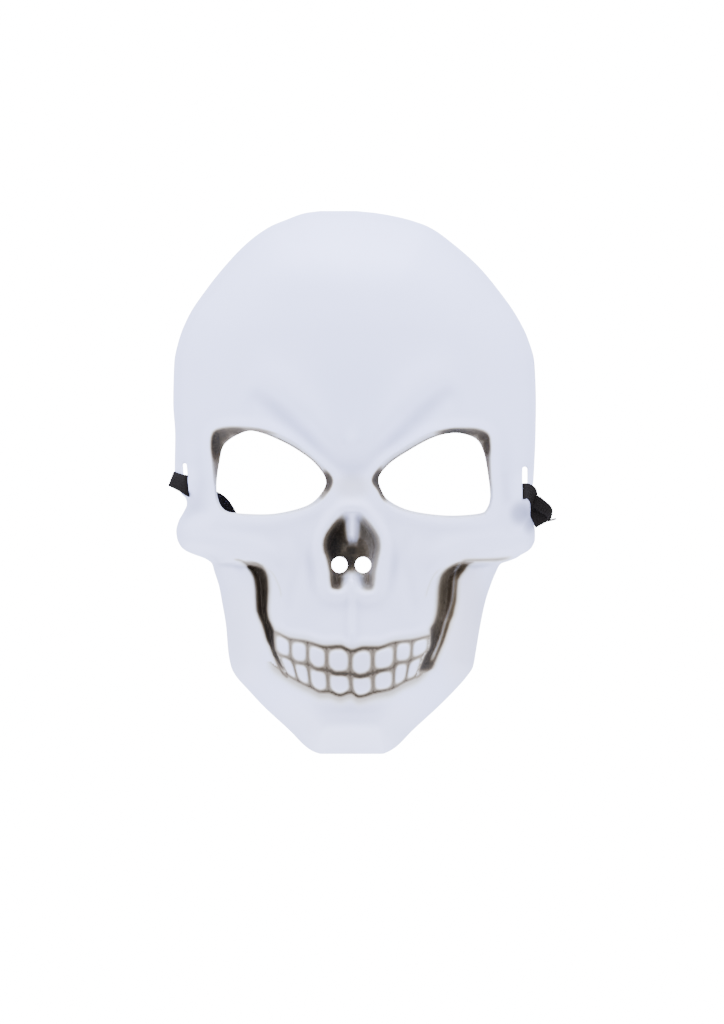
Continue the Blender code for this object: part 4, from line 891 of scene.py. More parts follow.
# the nose: airbrushed paint, nearly black on its left where painted shade is added, a thinner brown coat on
# its right where its lit wall is painted lighter
NOSE_PAINT_AND_SHADE = (  # across, up, reach across, reach up, strength
    (-0.05, 0.38, 0.036, 0.062, 0.99), (-0.015, 0.356, 0.05, 0.033, 0.97),
    (-0.003, 0.373, 0.03, 0.017, 0.97), (-0.054, 0.324, 0.02, 0.024, 0.75), (0.04, 0.39, 0.04, 0.065, 0.43),
    (0.02, 0.37, 0.03, 0.034, 0.8), (0.045, 0.321, 0.019, 0.02, 0.54),
)
# painted shade over parts of the face: beside and under the eyes, below the brows, beside the nose, on the
# right jaw, over the teeth, at the root of the nose and on the chin, and the painted shadow that the right
# tie casts beside it
PAINTED_SHADE_OVALS = (  # across, up, reach across, reach up, strength
    (-0.42, 0.5, 0.023, 0.062, 0.1), (0.425, 0.5, 0.023, 0.062, 0.1), (0.325, 0.3, 0.04, 0.07, 0.1),
    (-0.15, 0.305, 0.09, 0.085, 0.09), (0.15, 0.305, 0.09, 0.085, 0.09), (-0.003, 0.162, 0.23, 0.046, 0.14),
    (-0.003, 0.493, 0.042, 0.023, 0.36), (-0.003, 0.035, 0.09, 0.045, 0.07),
    (-0.29, 0.406, 0.15, 0.02, 0.06), (0.29, 0.406, 0.15, 0.02, 0.06), (0.46, 0.443, 0.03, 0.023, 0.78),
    (0.484, 0.423, 0.018, 0.018, 0.6), (-0.2, 0.63, 0.09, 0.022, 0.06), (0.2, 0.63, 0.09, 0.022, 0.06),
)
# faint warm tint of the lower face and of the root of the nose
WARM = (  # across, up, reach across, reach up, strength
    (-0.003, 0.36, 0.52, 0.19, 0.35), (-0.3, 0.23, 0.08, 0.11, 0.6), (0.3, 0.25, 0.08, 0.13, 0.95),
    (-0.005, 0.05, 0.22, 0.07, 0.5), (-0.003, 0.162, 0.23, 0.05, 0.55), (-0.003, 0.49, 0.06, 0.03, 0.75),
)
# painted highlights: places with the painted shade taken off, above the brows where they face the light and
# on the left of the jaw
PAINTED_HIGHLIGHTS = (  # across, up, reach across, reach up, strength
    (-0.212, 0.696, 0.065, 0.023, 0.07), (0.19, 0.698, 0.07, 0.023, 0.06), (-0.32, 0.2, 0.05, 0.07, 0.05),
)
# painted highlight: the lit outer wall of the right hollow, a streak with less paint
LIT_WALL_STREAK = (  # across, up
    (0.302, 0.354), (0.2885, 0.344), (0.28, 0.33), (0.272, 0.282), (0.254, 0.2438), (0.237, 0.2063),
    (0.211, 0.1667),
)
# its half breadth in metres, and how much of the paint the painted highlight takes away
LIT_WALL_STREAK_HALF = 0.00075
LIT_WALL_STREAK_LIGHT = 0.86
# soft dark lines: painted shade under the cheek bones' edges where the hollows start and in the folds beside
# them, and brown paint where the hollows end
PAINT_AND_SHADE_LINES = (  # name, half breadth in mm, density, line: across, up
    ("left start", 0.45, 0.42, ((-0.3333, 0.3583), (-0.3140, 0.3570), (-0.2892, 0.3517), (-0.2700, 0.3440))),
    ("right start", 0.75, 0.50, ((0.4480, 0.3640), (0.4050, 0.3585), (0.3550, 0.3570), (0.3100, 0.3560),
                                 (0.2850, 0.3480))),
    ("left end", 0.90, 0.72, ((-0.2200, 0.1900), (-0.2080, 0.1680), (-0.1950, 0.1500), (-0.1720, 0.1370))),
    ("right end", 0.90, 0.55, ((0.2280, 0.1900), (0.2060, 0.1660), (0.1890, 0.1480), (0.1640, 0.1350))),
    ("left fold", 0.40, 0.13, ((-0.2507, 0.3462), (-0.2231, 0.3333), (-0.2036, 0.3075), (-0.1970, 0.2850))),
    ("right fold", 0.40, 0.13, ((0.2480, 0.3450), (0.2230, 0.3290), (0.2070, 0.3060), (0.1990, 0.2850))),
)
# shares of a line's length over which its paint starts and ends
LINE_STARTS = 0.25
LINE_ENDS = 0.15
# coats of the hollows: densities, and how they fade over their edges, in mm
HOLLOW_TOP_DENSITY = 0.56
HOLLOW_FOOT_DENSITY = 0.90
HOLLOW_HAZE = 0.16
HOLLOW_DARKENS = (0.29, 0.20)
CORE_INNER_FADE = (-0.8, 1.0)
CORE_OUTER_FADE = (-0.9, 1.3)
HAZE_INNER_FADE = (-1.8, 0.2)
HAZE_OUTER_FADE = (-2.2, 0.2)
PAINT_FOOT = (-0.006, 0.014)
PAINT_TOP = (-0.006, 0.001)
# the corners of the sockets fade over their edge, in mm, and more softly far out
CORNER_FADE = (0.9, -1)
CORNER_SOFTNESS = (0.55, 1.05)
CORNER_SOFTENS = (0.24, 0.37)
# painted shade along the top of each eye hole, where its wall faces down away from the light, and the thin
# line round each socket: densities, places up, and mm
HOLE_SHADE_LINE = 0.74
HOLE_SHADE_LINE_HALF = 0.72
HOLE_SHADE_LINE_FADES = ((0.47, 0.50), (0.50, 0.53))
HOLE_SHADE_LINE_LOW_SHARE = 0.35
HOLE_SHADE_LINE_OUTWARD = (0.20, 0.30)
HOLE_SHADE_LINE_OUTWARD_LOSS = 0.6
SOCKET_RIM = 0.10
SOCKET_RIM_FADE = (0.5, -0.5)
SOCKET_REACH = 8
# the least coat on the nose's left, made thicker there as painted shade, and on its right, its share along
# the cavity's edge, and the fades, in mm
NOSE_COATS_AND_SHADE = (0.72, 0.40)
NOSE_RIGHT_STARTS = (-0.03, 0.01)
NOSE_EDGE_COAT = 0.62
NOSE_EDGE_BREADTH = 1.9
NOSE_POWER = 1.3
NOSE_FADE = (0.45, -0.65)
NOSE_TOP_FADE = (0.423, 0.447)
# painted highlight: the light line inside the nose's right edge, where its wall is lit; and the faint dark
# one round the cavity: density, place, half
NOSE_PAINTED_HIGHLIGHT = (0.16, -2.3, 0.6)
NOSE_DARK_LINE = (0.20, 0, 0.6)
# bare plastic on the spike and on the foot of the septum: places, and sizes in mm
BARE_SPIKE_TOP = (-0.001, 0.449)
BARE_SPIKE_END = 0.3850
BARE_SPIKE_HALF = 3.1
BARE_SPIKE_TIP = 1.1
BARE_SPIKE_FADES = ((0.62, 1.32), (0.84, 1.12))
BARE_FOOT = 0.3262
BARE_SEPTUM_HALF = 1.2
BARE_SEPTUM_FOOT = 4.5
BARE_SEPTUM_HEIGHT = 6
BARE_SEPTUM_FADE = (0.5, 1.3)
# the paint along the gums, in mm
GUM_PAINT = (  # gum, side, density, more in the middle, half breadth; haze: density, start, half breadth
    (GUM_UPPER, 1, 0.62, 0.20, 1.05, 0.09, 1.0, 1.9), (GUM_LOWER, -1, 0.56, 0.16, 1.2, 0.29, 1.2, 2.4),
)
# the paint between the teeth: grooves, the corners where four teeth meet, and the bite
GROOVE_DENSITY = 0.53
GROOVE_FADE = (0.63, 0.96)
CORNER_DENSITY = 0.26
CORNER_PLACE = (0.98, 1.20)
BITE_DENSITIES = (0.04, 0.24)
TEETH_MIDDLE = (0.04, 0.15)
TEETH_SIDES = (0.13, 0.235)
TEETH_END = (0.212, 0.240)


def ovals(rows, across, up, power=2):
    """The strongest of some ovals at each place; a higher power makes their tops flatter."""
    cover = np.zeros(np.shape(across))
    for cx, cy, reach_across, reach_up, strength in rows:
        far = ((across - cx) / reach_across) ** 2 + ((up - cy) / reach_up) ** 2
        cover = np.maximum(cover, strength * np.exp(-far ** power))
    return cover


def socket_paint_and_shade(x, y):
    """Paint in the corners of the sockets, and painted shade along the top of each opening, where its wall
    faces down away from the light.
    """
    across, up = shares(x, y)
    aside = np.abs(across)
    paint = np.zeros(np.shape(x))
    soft = between(*CORNER_SOFTNESS, ease(*CORNER_SOFTENS, aside))
    # painted shade along the top of each eye hole
    low, high = (ease(*fade, up) for fade in HOLE_SHADE_LINE_FADES)
    high *= 1 - HOLE_SHADE_LINE_OUTWARD_LOSS * ease(*HOLE_SHADE_LINE_OUTWARD, aside)
    line = HOLE_SHADE_LINE * between(high, low, HOLE_SHADE_LINE_LOW_SHARE)
    for side, sign in (("left", -1), ("right", 1)):
        gap = signed(LOOPS["socket_" + side], x, y) / MM
        hole = signed(LOOPS["eye_" + side], x, y) / MM
        corners = ease(*CORNER_FADE, gap / soft) * ovals(SOCKET_PAINT, across, up)
        rim = SOCKET_RIM * ease(*SOCKET_RIM_FADE, gap)
        cover = np.maximum(np.maximum(corners, line * bump(hole, HOLE_SHADE_LINE_HALF)), rim)
        paint = np.where((gap < SOCKET_REACH) & (across * sign > 0), cover, paint)
    return paint


def nose_paint_and_shade(x, y):
    """Paint over the nose cavity, thicker on its left as painted shade and lightened inside its lit right
    edge as a painted highlight, with the bone spike and the foot of the septum left white.
    """
    across, up = shares(x, y)
    cavity = signed(LOOPS["nose"], x, y) / MM
    deep = ease(*NOSE_FADE, cavity) * (1 - 0.96 * ease(*NOSE_TOP_FADE, up))
    cx, top = spot(*BARE_SPIKE_TOP)
    aside = np.abs(x - cx) / MM
    share = np.clip((top - y) / (top - spot(0, BARE_SPIKE_END)[1]), 0, 1.3)
    half = BARE_SPIKE_HALF * np.sqrt(np.clip(1.10 - share, 0, 1)) + BARE_SPIKE_TIP
    spike = (1 - ease(*BARE_SPIKE_FADES[0], aside / half)) * (1 - ease(*BARE_SPIKE_FADES[1], share))
    above = (y - spot(0, BARE_FOOT)[1]) / MM
    half = BARE_SEPTUM_HALF + BARE_SEPTUM_FOOT * (1 - np.clip(above / BARE_SEPTUM_HEIGHT, 0, 1)) ** 1.5
    septum = (1 - ease(*BARE_SEPTUM_FADE, aside / half)) * (1 - ease(0, 5, above))
    bare = (1 - 0.97 * spike) * (1 - septum)
    coat = ovals(NOSE_PAINT_AND_SHADE, across, up, NOSE_POWER)
    coat *= between(NOSE_EDGE_COAT, 1, ease(0, -NOSE_EDGE_BREADTH, cavity))
    # painted shade: a thicker least coat on the cavity's left than on its right
    coat = np.maximum(coat, between(*NOSE_COATS_AND_SHADE, ease(*NOSE_RIGHT_STARTS, across)))
    # painted highlight along the lit right edge of the cavity
    rows = (NOSE_PAINTED_HIGHLIGHT, NOSE_DARK_LINE)
    light, dark = (density * bump(cavity - place, reach) for density, place, reach in rows)
    light *= ease(0.01, 0.04, across)
    dark *= ease(0.445, 0.425, up)
    return np.maximum(deep * (coat - light), dark) * bare


def hollow_paint_and_shade(x, y):
    """Paint in the hollows beside the teeth, with a painted highlight down the lit outer wall of the right
    one, and thin lines of paint and of painted shade.
    """
    _, up = shares(x, y)
    paint = np.zeros(np.shape(x))
    strength = between(HOLLOW_TOP_DENSITY, HOLLOW_FOOT_DENSITY, ease(*HOLLOW_DARKENS, up))
    for rows in (SLOT_LEFT, SLOT_RIGHT):
        from_inner, from_outer = (gap / MM for gap in hollow_gaps(rows, x, up))
        core = strength * ease(*CORE_INNER_FADE, from_inner) * ease(*CORE_OUTER_FADE, from_outer)
        haze = HOLLOW_HAZE * ease(*HAZE_INNER_FADE, from_inner) * ease(*HAZE_OUTER_FADE, from_outer)
        paint = np.maximum(paint, np.maximum(core, haze) * hollow_ends(rows, up, PAINT_FOOT, PAINT_TOP))
    # painted highlight down the lit outer wall of the right hollow
    gap, run = distance(drawn(LIT_WALL_STREAK), x, y)
    paint *= 1 - LIT_WALL_STREAK_LIGHT * bump(gap, LIT_WALL_STREAK_HALF) * ease(0, 0.06, run) * (1 - ease(0.92, 1, run))
    # thin lines of painted shade under the cheek bones and in the folds, and of brown paint at the hollows'
    # ends
    for _, breadth, density, line in PAINT_AND_SHADE_LINES:
        gap, run = distance(drawn(line), x, y)
        taper = ease(0, LINE_STARTS, run) * (1 - ease(1 - LINE_ENDS, 1, run))
        paint = np.maximum(paint, density * taper * bump(gap, breadth * MM))
    return paint


def tooth_paint(x, y):
    """Brown in the grooves, darkest where four teeth meet, and a brown haze under the lower gum."""
    across, up = shares(x, y)
    a, b, inside = tooth_cells(x, y)
    ring = tooth_ring(a, b)
    aside = np.abs(across - FACE_MIDDLE)
    middle = 1 - ease(*TEETH_MIDDLE, aside)
    level = ease(0.0, 0.3, np.abs(b) - np.abs(a)) * ease(0.60, 0.95, ring)
    groove = (GROOVE_DENSITY + 0.06 * middle) * ease(*GROOVE_FADE, ring)
    groove += CORNER_DENSITY * ease(*CORNER_PLACE, ring) + between(*BITE_DENSITIES, middle) * level
    groove *= 1 - 0.12 * ease(*TEETH_SIDES, aside)
    edges = np.zeros(np.shape(x))
    for rows, side, density, more, breadth, haze, start, reach in GUM_PAINT:
        gap = side * (up - curve(rows, 1, across)) * MASK_HEIGHT / MM
        line = (density + more * middle) * bump(np.maximum(gap, 0), breadth) * (gap > -0.3)
        cloud = haze * bump(np.maximum(gap - start, 0), reach) * (gap > 0)
        edges = np.maximum(edges, np.maximum(line, cloud))
    return np.where(inside, groove, (1 - ease(*TEETH_END, aside)) * edges)


def paint_and_shade_masks(x, y):
    """Density of the brown-black paint with painted shade and highlights in it, of the grey painted shade
    less the painted highlights, and of the warm tint at places of the plan.
    """
    across, up = shares(x, y)
    # a breath of brown between the eyes
    dark_paint_and_shade = 0.05 * bump(up - 0.496, 0.015) * bump(across + 0.002, 0.050)
    for paint in (socket_paint_and_shade, nose_paint_and_shade, hollow_paint_and_shade, tooth_paint):
        dark_paint_and_shade = np.maximum(dark_paint_and_shade, paint(x, y))
    return dark_paint_and_shade, ovals(PAINTED_SHADE_OVALS, across, up) - ovals(PAINTED_HIGHLIGHTS, across, up), ovals(WARM, across, up)


# the brown-black paint from bare plastic to its thickest coat; it also colours the painted shade and
# highlights carried with the paint
PAINT_STOPS = (  # density, colour
    (0.00, "DDE0FA"), (0.12, "CCCCCD"), (0.25, "B3ADA1"), (0.50, "807561"), (0.75, "514735"),
    (1.00, "241E14"),
)
PAINTED_SHADE_TINT = "8E8F95"
WARM_TINT = "FFF8EA"
ELASTIC_COLOUR = "16120E"
PAPER_COLOUR = "F4F4F4"
LIGHT_COLOUR = "FFFFFF"
PAPER_GLOW = 15.0
PAPER_IOR = 1.45
DROP_SIZE = 0.0011
PLASTIC_IOR = 1.5
SATIN = 0.38
MATT = 0.85


def linear(code):
    """An sRGB hex colour as the linear colour that a shader takes."""
    channels = [int(code[i:i + 2], 16) / 255 for i in (0, 2, 4)]
    return [c / 12.92 if c <= 0.04045 else ((c + 0.055) / 1.055) ** 2.4 for c in channels] + [1.0]


def add_node(tree, kind, settings=(), **inputs):
    """One node with its settings and its inputs, as values or links: Base_Color or, by number, i0."""
    node = tree.nodes.new(kind)
    for name, value in dict(settings).items():
        setattr(node, name, value)
    for name, value in inputs.items():
        socket = node.inputs[int(name[1:]) if name[1:].isdigit() else name.replace("_", " ")]
        if isinstance(value, bpy.types.NodeSocket):
            tree.links.new(value, socket)
        else:
            socket.default_value = value
    return node


def new_material(name):
    """An empty material and its tree."""
    material = bpy.data.materials.new(name)
    material.use_nodes = True
    material.node_tree.nodes.clear()
    return material, material.node_tree


def painted_plastic():
    """White injection-moulded polystyrene, airbrushed up to brown-black, where it turns matt, with painted
    shade darkening it grey in its creases and hollows.
    """
    material, tree = new_material("airbrushed_polystyrene_with_painted_shade")
    place = add_node(tree, "ShaderNodeTexCoord").outputs["Object"]
    paint = add_node(tree, "ShaderNodeAttribute", {"attribute_name": "paint"}).outputs["Color"]
    parts = add_node(tree, "ShaderNodeSeparateColor", Color=paint).outputs
    # airbrush drops about a millimetre wide leave the thick coats slightly uneven
    drops = add_node(tree, "ShaderNodeTexNoise", Vector=place, Scale=1 / DROP_SIZE, Detail=2.0,
                     Roughness=0.5)
    flecks = add_node(tree, "ShaderNodeMapRange", Value=drops.outputs[0], i1=0.30, i2=0.70, i3=0.94, i4=1.05)
    density = add_node(tree, "ShaderNodeMath", {"operation": "MULTIPLY", "use_clamp": True}, i0=parts["Red"],
                       i1=flecks.outputs["Result"]).outputs[0]
    coat = add_node(tree, "ShaderNodeValToRGB", Fac=density)
    stops = coat.color_ramp.elements
    stops[0].color = linear(PAINT_STOPS[0][1])
    stops[1].color = linear(PAINT_STOPS[-1][1])
    for share, code in PAINT_STOPS[1:-1]:
        stops.new(share).color = linear(code)
    colour = coat.outputs["Color"]
    over = {"data_type": "RGBA", "blend_type": "MULTIPLY"}
    # the green part darkens the plastic grey as painted shade, the blue part tints it warm
    for part, tint in (("Green", PAINTED_SHADE_TINT), ("Blue", WARM_TINT)):
        colour = add_node(tree, "ShaderNodeMix", over, i0=parts[part], i6=colour, i7=linear(tint)).outputs[2]
    matt = add_node(tree, "ShaderNodeMapRange", Value=density, i1=0.2, i2=0.8, i3=SATIN, i4=MATT)
    shader = add_node(tree, "ShaderNodeBsdfPrincipled", Base_Color=colour, Roughness=matt.outputs["Result"],
                      IOR=PLASTIC_IOR, Specular_IOR_Level=0.4)
    add_node(tree, "ShaderNodeOutputMaterial", Surface=shader.outputs["BSDF"])
    return material


def braided_elastic():
    """Black braided polyester elastic: matt yarns with a faint sheen."""
    material, tree = new_material("braided_polyester_elastic")
    shader = add_node(tree, "ShaderNodeBsdfPrincipled", Base_Color=linear(ELASTIC_COLOUR), Roughness=0.9,
                      IOR=PLASTIC_IOR, Specular_IOR_Level=0.1)
    add_node(tree, "ShaderNodeOutputMaterial", Surface=shader.outputs["BSDF"])
    return material


def floor_paper():
    """White paper lit from below, as on a light table."""
    material, tree = new_material("lit_white_paper")
    shader = add_node(tree, "ShaderNodeBsdfPrincipled", Base_Color=linear(PAPER_COLOUR), Roughness=0.9,
                      IOR=PAPER_IOR, Emission_Color=linear(LIGHT_COLOUR), Emission_Strength=PAPER_GLOW)
    add_node(tree, "ShaderNodeOutputMaterial", Surface=shader.outputs["BSDF"])
    return material


# the two tied ends as flat lengths of the elastic: both edges of the strip at each station
LEFT_LOOP = (  # upper edge: across, up, height in mm; lower edge: across, up, height in mm
    (-0.452, 0.51, 9, -0.449, 0.4725, 5.5), (-0.4562, 0.5128, 14.5, -0.4524, 0.473, 8.6),
    (-0.4582, 0.5142, 18.6, -0.4544, 0.4733, 14), (-0.4647, 0.5146, 17.4, -0.4656, 0.4774, 14),
    (-0.474, 0.516, 14.2, -0.4766, 0.4829, 12.8), (-0.482, 0.5178, 10.8, -0.49, 0.4874, 10.6),
    (-0.49, 0.5198, 6.6, -0.504, 0.4924, 8.1), (-0.492, 0.5203, 4.4, -0.5076, 0.4932, 6.9),
    (-0.488, 0.519, 2.6, -0.503, 0.4915, 5.6), (-0.47, 0.511, 2.2, -0.478, 0.483, 4.2),
    (-0.448, 0.5, 2.6, -0.448, 0.47, 3), (-0.428, 0.49, 3.2, -0.428, 0.46, 3.2),
)
RIGHT_LOOP = (  # upper edge: across, up, height in mm; lower edge: across, up, height in mm
    (0.46, 0.496, 9, 0.46, 0.469, 9), (0.4672, 0.4985, 13.6, 0.4668, 0.469, 13.6),
    (0.47, 0.499, 16.2, 0.4698, 0.4688, 16.6), (0.4825, 0.4986, 11.6, 0.4782, 0.4706, 13),
    (0.498, 0.4936, 7.8, 0.4838, 0.4666, 9.2), (0.505, 0.4866, 6.2, 0.4908, 0.4598, 6.8),
    (0.506, 0.476, 4.6, 0.493, 0.449, 4.8), (0.498, 0.47, 3.2, 0.486, 0.445, 3),
    (0.482, 0.469, 2.6, 0.472, 0.444, 2.4),
)
RIGHT_WRAP = (  # outer edge: across, up, height in mm; inner edge: across, up, height in mm
    (0.502, 0.478, 4.6, 0.4905, 0.456, 4.6), (0.508, 0.4768, 6.6, 0.497, 0.454, 6.4),
    (0.53, 0.466, 7.2, 0.513, 0.446, 6.9), (0.5475, 0.4546, 6.4, 0.53, 0.44, 6.4),
    (0.5482, 0.444, 4.8, 0.5345, 0.436, 5), (0.544, 0.4326, 3.2, 0.533, 0.434, 3.6),
)
RIGHT_TAIL = (  # outer edge: across, up, height in mm; inner edge: across, up, height in mm
    (0.517, 0.474, 4, 0.4905, 0.456, 4), (0.533, 0.46, 4.6, 0.4872, 0.4414, 4.6),
    (0.542, 0.446, 4.2, 0.494, 0.429, 4.2), (0.5425, 0.4312, 3.2, 0.5022, 0.4165, 3.2),
)
RIGHT_THREAD = (  # across, up, height in mm
    (0.533, 0.429, 3.2), (0.542, 0.4302, 3.3), (0.5505, 0.4316, 3.2), (0.559, 0.4334, 3),
)
KNOTS = (  # across, up, height in mm, length, breadth and height of the knot in mm
    (-0.424, 0.476, 3.3, 6.4, 6.6, 4.2), (0.512, 0.453, 3, 5.2, 6, 3.4),
)
STITCH_PITCH = 0.00125
STITCH_SIZES = {"Stitch Length": 0.00145, "Stitch Breadth": 0.00095, "Stitch Height": 0.00034}
RIBS = 6
RIBBED_SHARE = 0.94
YARN_SLANT = 0.55
THREAD_DIAMETER = 0.0009
THREAD_SIDES = 6
# the turns of a knot
KNOT_TURNS = (  # way round in radians, lean, size
    (0.35, 0.1, 1), (1.45, -0.3, 0.93), (2.5, 0.25, 0.86),
)
KNOT_WRAP = 0.36
ROUTE_STEPS = 8


def unit(vector):
    """The vector's way, one metre long."""
    return vector / np.linalg.norm(vector)


def ribbon_section():
    """The elastic's section in shares of width and thickness: ribs on both faces, thin edges."""
    tops = [(RIBBED_SHARE * (k / RIBS - 0.5), 0.5) for k in range(RIBS + 1)]
    return tops + [(0.5, 0.0)] + [(a, -b) for a, b in tops[::-1]] + [(-0.5, 0.0)]


def ribbon(low_edge, high_edge, closed=False):
    """A strip of elastic between two edges: points, faces, and the way of the yarn on each face."""
    section = ribbon_section()
    size, count = len(section), len(low_edge)
    middle = (low_edge + high_edge) / 2
    points, sides = [], []
    for i in range(count):
        after = middle[(i + 1) % count] if closed else middle[min(i + 1, count - 1)]
        before = middle[i - 1] if closed else middle[max(i - 1, 0)]
        side = high_edge[i] - low_edge[i]
        out = unit(np.cross(after - before, side))
        points += [middle[i] + side * a + out * (b * BAND_THICK) for a, b in section]
        sides.append(unit(side))
    faces, ways = [], []
    for i in range(count if closed else count - 1):
        n = (i + 1) % count
        for j in range(size):
            k = (j + 1) % size
            faces.append((i * size + j, i * size + k, n * size + k, n * size + j))
            rib = j if j < RIBS else j - RIBS - 2
            slant = YARN_SLANT if rib % 2 else -YARN_SLANT
            way = unit(middle[n] - middle[i]) + sides[i] * slant
            ways.append(way if 0 <= rib < RIBS else way * 0)
    if not closed:
        last = (count - 1) * size
        faces += [tuple(range(size))[::-1], tuple(range(last, last + size))]
        ways += [np.zeros(3)] * 2
    return points, faces, ways


def strip(rows):
    """A ribbon through stations that give both of its edges."""
    table = np.array(rows, dtype=float)
    one = to_space(placed(table[:, 0:2]), table[:, 2] * MM)
    two = to_space(placed(table[:, 3:5]), table[:, 5] * MM)
    both = rounded(np.hstack([(one + two) / 2, one, two]), closed=False, steps=ROUTE_STEPS)
    both = walked(both, STITCH_PITCH, False, 3)
    return ribbon(both[:, 3:6], both[:, 6:9])


def knot(across, up, height, length, breadth, tall):
    """A tight knot: three turns of the elastic round a middle, each leaning another way."""
    centre = to_space(np.array([spot(across, up)]), np.array([height * MM]))[0]
    parts = []
    for turn, lean, share in KNOT_TURNS:
        axis = unit(np.array([math.cos(turn), math.sin(turn), lean]))
        flat = unit(np.cross((0, 0, 1), axis))
        high = np.cross(axis, flat)
        count = int(round(math.tau * breadth / 2 * share * MM / STITCH_PITCH))
        angles = math.tau * np.arange(count)[:, None] / count
        ring = centre + (flat * breadth * np.cos(angles) + high * tall * np.sin(angles)) * share / 2 * MM
        half = axis * (length * MM * KNOT_WRAP)
        parts.append(ribbon(ring - half, ring + half, True))
    return parts


def thread(rows):
    """A frayed thread: a thin round tube."""
    table = np.array(rows, dtype=float)
    line = rounded(to_space(placed(table[:, :2]), table[:, 2] * MM), closed=False)
    turns = math.tau * np.arange(THREAD_SIDES)[:, None] / THREAD_SIDES
    points, faces = [], []
    for i, place in enumerate(line):
        ahead = unit(line[min(i + 1, len(line) - 1)] - line[max(i - 1, 0)])
        side = unit(np.cross((0, 0, 1), ahead))
        ring = side * np.cos(turns) + np.cross(ahead, side) * np.sin(turns)
        points += list(place + ring * THREAD_DIAMETER / 2)
    for i in range(len(line) - 1):
        faces += strip_faces(i * THREAD_SIDES, (i + 1) * THREAD_SIDES, THREAD_SIDES)
    return points, faces, [np.zeros(3)] * len(faces)


def together(parts):
    """Several lengths of elastic as one set of points and faces."""
    points, faces, ways = [], [], []
    for part_points, part_faces, part_ways in parts:
        first = len(points)
        points += part_points
        faces += [tuple(first + i for i in face) for face in part_faces]
        ways += list(part_ways)
    return points, faces, ways


def stitch_nodes():
    """Geometry Nodes that lay one braid stitch on each cell of a ribbon, along the way of its yarn."""
    tree = bpy.data.node_groups.new("braid_stitches", "GeometryNodeTree")
    face = tree.interface
    face.new_socket("Geometry", in_out="INPUT", socket_type="NodeSocketGeometry")
    for name, size in STITCH_SIZES.items():
        face.new_socket(name, in_out="INPUT", socket_type="NodeSocketFloat").default_value = size
    face.new_socket("Material", in_out="INPUT", socket_type="NodeSocketMaterial")
    face.new_socket("Geometry", in_out="OUTPUT", socket_type="NodeSocketGeometry")
    given = add_node(tree, "NodeGroupInput").outputs
    way = add_node(tree, "GeometryNodeInputNamedAttribute", {"data_type": "FLOAT_VECTOR"},
                   Name="yarn").outputs[0]
    length = add_node(tree, "ShaderNodeVectorMath", {"operation": "LENGTH"}, i0=way).outputs["Value"]
    here = add_node(tree, "FunctionNodeCompare", {"operation": "GREATER_THAN"}, i0=length, i1=0.5).outputs[0]
    facing = add_node(tree, "GeometryNodeInputNormal").outputs[0]
    upright = add_node(tree, "FunctionNodeAlignRotationToVector", {"axis": "Z"}, Vector=facing).outputs[0]
    turned = add_node(tree, "FunctionNodeAlignRotationToVector", {"axis": "Y", "pivot_axis": "Z"},
                      Rotation=upright, Vector=way).outputs[0]
    held = add_node(tree, "GeometryNodeCaptureAttribute", {"domain": "FACE"}, Geometry=given["Geometry"])
    held.capture_items.new("ROTATION", "turned")
    tree.links.new(turned, held.inputs["turned"])
    dots = add_node(tree, "GeometryNodeMeshToPoints", {"mode": "FACES"}, Mesh=held.outputs["Geometry"],
                    Selection=here)
    sizes = add_node(tree, "ShaderNodeCombineXYZ", X=given["Stitch Breadth"], Y=given["Stitch Length"],
                     Z=given["Stitch Height"]).outputs[0]
    bead = add_node(tree, "GeometryNodeMeshUVSphere", Segments=6, Rings=4, Radius=0.5).outputs["Mesh"]
    placed_beads = add_node(tree, "GeometryNodeInstanceOnPoints", Points=dots.outputs[0], Instance=bead,
                            Rotation=held.outputs["turned"], Scale=sizes).outputs[0]
    joined = add_node(tree, "GeometryNodeJoinGeometry")
    tree.links.new(placed_beads, joined.inputs[0])
    tree.links.new(given["Geometry"], joined.inputs[0])
    real = add_node(tree, "GeometryNodeRealizeInstances", Geometry=joined.outputs[0]).outputs[0]
    smooth = add_node(tree, "GeometryNodeSetShadeSmooth", Geometry=real).outputs[0]
    done = add_node(tree, "GeometryNodeSetMaterial", Geometry=smooth, Material=given["Material"]).outputs[0]
    add_node(tree, "NodeGroupOutput", Geometry=done)
    return tree


def woven(name, parts, material, tree):
    """An object of elastic with its braid stitches, as a plain mesh."""
    points, faces, ways = together(parts)
    piece = new_object(name, points, faces, material)
    yarn = piece.data.attributes.new("yarn", "FLOAT_VECTOR", "FACE")
    yarn.data.foreach_set("vector", np.array(ways, dtype=np.float32).ravel())
    step = piece.modifiers.new("braid", "NODES")
    step.node_group = tree
    wanted = {**STITCH_SIZES, "Material": material}
    for socket in tree.interface.items_tree:
        if socket.name in wanted and socket.in_out == "INPUT":
            step[socket.identifier] = wanted[socket.name]
    bpy.context.view_layer.update()
    mesh = bpy.data.meshes.new_from_object(piece.evaluated_get(bpy.context.evaluated_depsgraph_get()))
    piece.modifiers.clear()
    piece.data = mesh
    mesh.name = name
    return piece


def build_band(material, tree):
    """The strap's long run behind the face."""
    rows = np.array(BAND_ROUTE)
    line = rounded(to_space(placed(rows[:, :2]), rows[:, 2] * BAND_THICK), closed=False, steps=ROUTE_STEPS)
    path = walked(line, STITCH_PITCH, False, 3)
    side = np.cross((0, 0, 1), np.gradient(path, axis=0))
    side *= BAND_WIDTH / 2 / np.linalg.norm(side, axis=1)[:, None]
    return woven("elastic_strap", [ribbon(path - side, path + side)], material, tree), line


# soft light from all round: stronger from above the crown and below the chin than from the front
SOFTBOXES = (  # strength, direction, times direction
    (2.708, "1", "1"), (-0.123, "x", "1"), (0.577, "y", "1"), (0.417, "z", "1"), (-2.039, "z", "z"),
    (4.647, "y", "y"), (2.258, "y", "z"), (0.337, "x", "z"),
)
LEAST_LIGHT = 0.2
STUDIO_COLOUR = "DBE2FF"
VIEW_SPAN = 0.4714
SENSOR_WIDTH = 36
FLOOR_HALF = 4
FLOOR_DROP = 0.0001


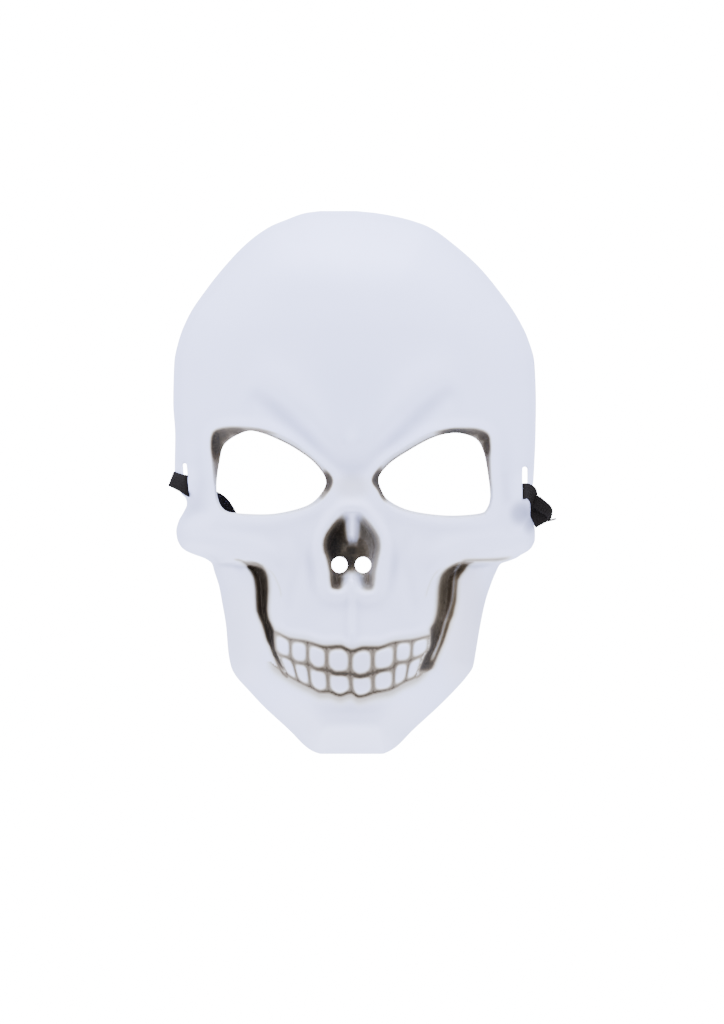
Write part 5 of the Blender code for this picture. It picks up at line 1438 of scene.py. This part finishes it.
def studio():
    """Camera straight above, a lit white floor and soft light from all round."""
    view = bpy.data.cameras.new("camera")
    view.sensor_width = SENSOR_WIDTH
    view.lens = SENSOR_WIDTH * VIEW_HEIGHT / VIEW_SPAN
    camera = bpy.data.objects.new("camera", view)
    camera.location = (VIEW_CENTRE[0] - MIDLINE_OFFSET, VIEW_CENTRE[1], VIEW_HEIGHT)
    bpy.context.scene.collection.objects.link(camera)
    bpy.context.scene.camera = camera
    corners = [(x * FLOOR_HALF, y * FLOOR_HALF, 0) for x, y in ((-1, -1), (1, -1), (1, 1), (-1, 1))]
    floor = new_object("floor", corners, [(0, 1, 2, 3)], floor_paper())
    floor.location.z = -FLOOR_DROP
    for way in ("diffuse", "glossy", "transmission", "shadow"):
        setattr(floor, "visible_" + way, False)
    world = bpy.data.worlds.new("studio")
    world.use_nodes = True
    tree = world.node_tree
    way = add_node(tree, "ShaderNodeTexCoord").outputs["Generated"]
    x, y, z = add_node(tree, "ShaderNodeSeparateXYZ", Vector=way).outputs
    parts = {"x": x, "y": y, "z": z, "1": 1.0}
    times, plus, most = ({"operation": name} for name in ("MULTIPLY", "MULTIPLY_ADD", "MAXIMUM"))
    total = 0.0
    for share, first, second in SOFTBOXES:
        product = add_node(tree, "ShaderNodeMath", times, i0=parts[first], i1=parts[second]).outputs[0]
        total = add_node(tree, "ShaderNodeMath", plus, i0=product, i1=share, i2=total).outputs[0]
    total = add_node(tree, "ShaderNodeMath", most, i0=total, i1=LEAST_LIGHT).outputs[0]
    gain = add_node(tree, "ShaderNodeMath", times, i0=total, i1=1 / linear(STUDIO_COLOUR)[1]).outputs[0]
    light = tree.nodes["Background"].inputs
    light["Color"].default_value = linear(STUDIO_COLOUR)
    tree.links.new(gain, light["Strength"])
    bpy.context.scene.world = world


studio()
elastic = braided_elastic()
plastic = painted_plastic()
stitches = stitch_nodes()
band, band_line = build_band(elastic, stitches)
shell = build_shell(plastic)
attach(band, "root")
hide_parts("elastic_band")
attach(shell, "root")
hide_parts("mask_shell")
left_parts = [strip(LEFT_LOOP)] + knot(*KNOTS[0])
right_parts = [strip(rows) for rows in (RIGHT_LOOP, RIGHT_WRAP, RIGHT_TAIL)] + knot(*KNOTS[1])
right_parts.append(thread(RIGHT_THREAD))
for name, parts, node, slot in (("left_tied_end", left_parts, "left_tie", "black_elastic_left"),
                                ("right_tied_end", right_parts, "right_tie", "black_elastic_right")):
    tie = woven(name, parts, elastic, stitches)
    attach(tie, "root")
    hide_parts(node)
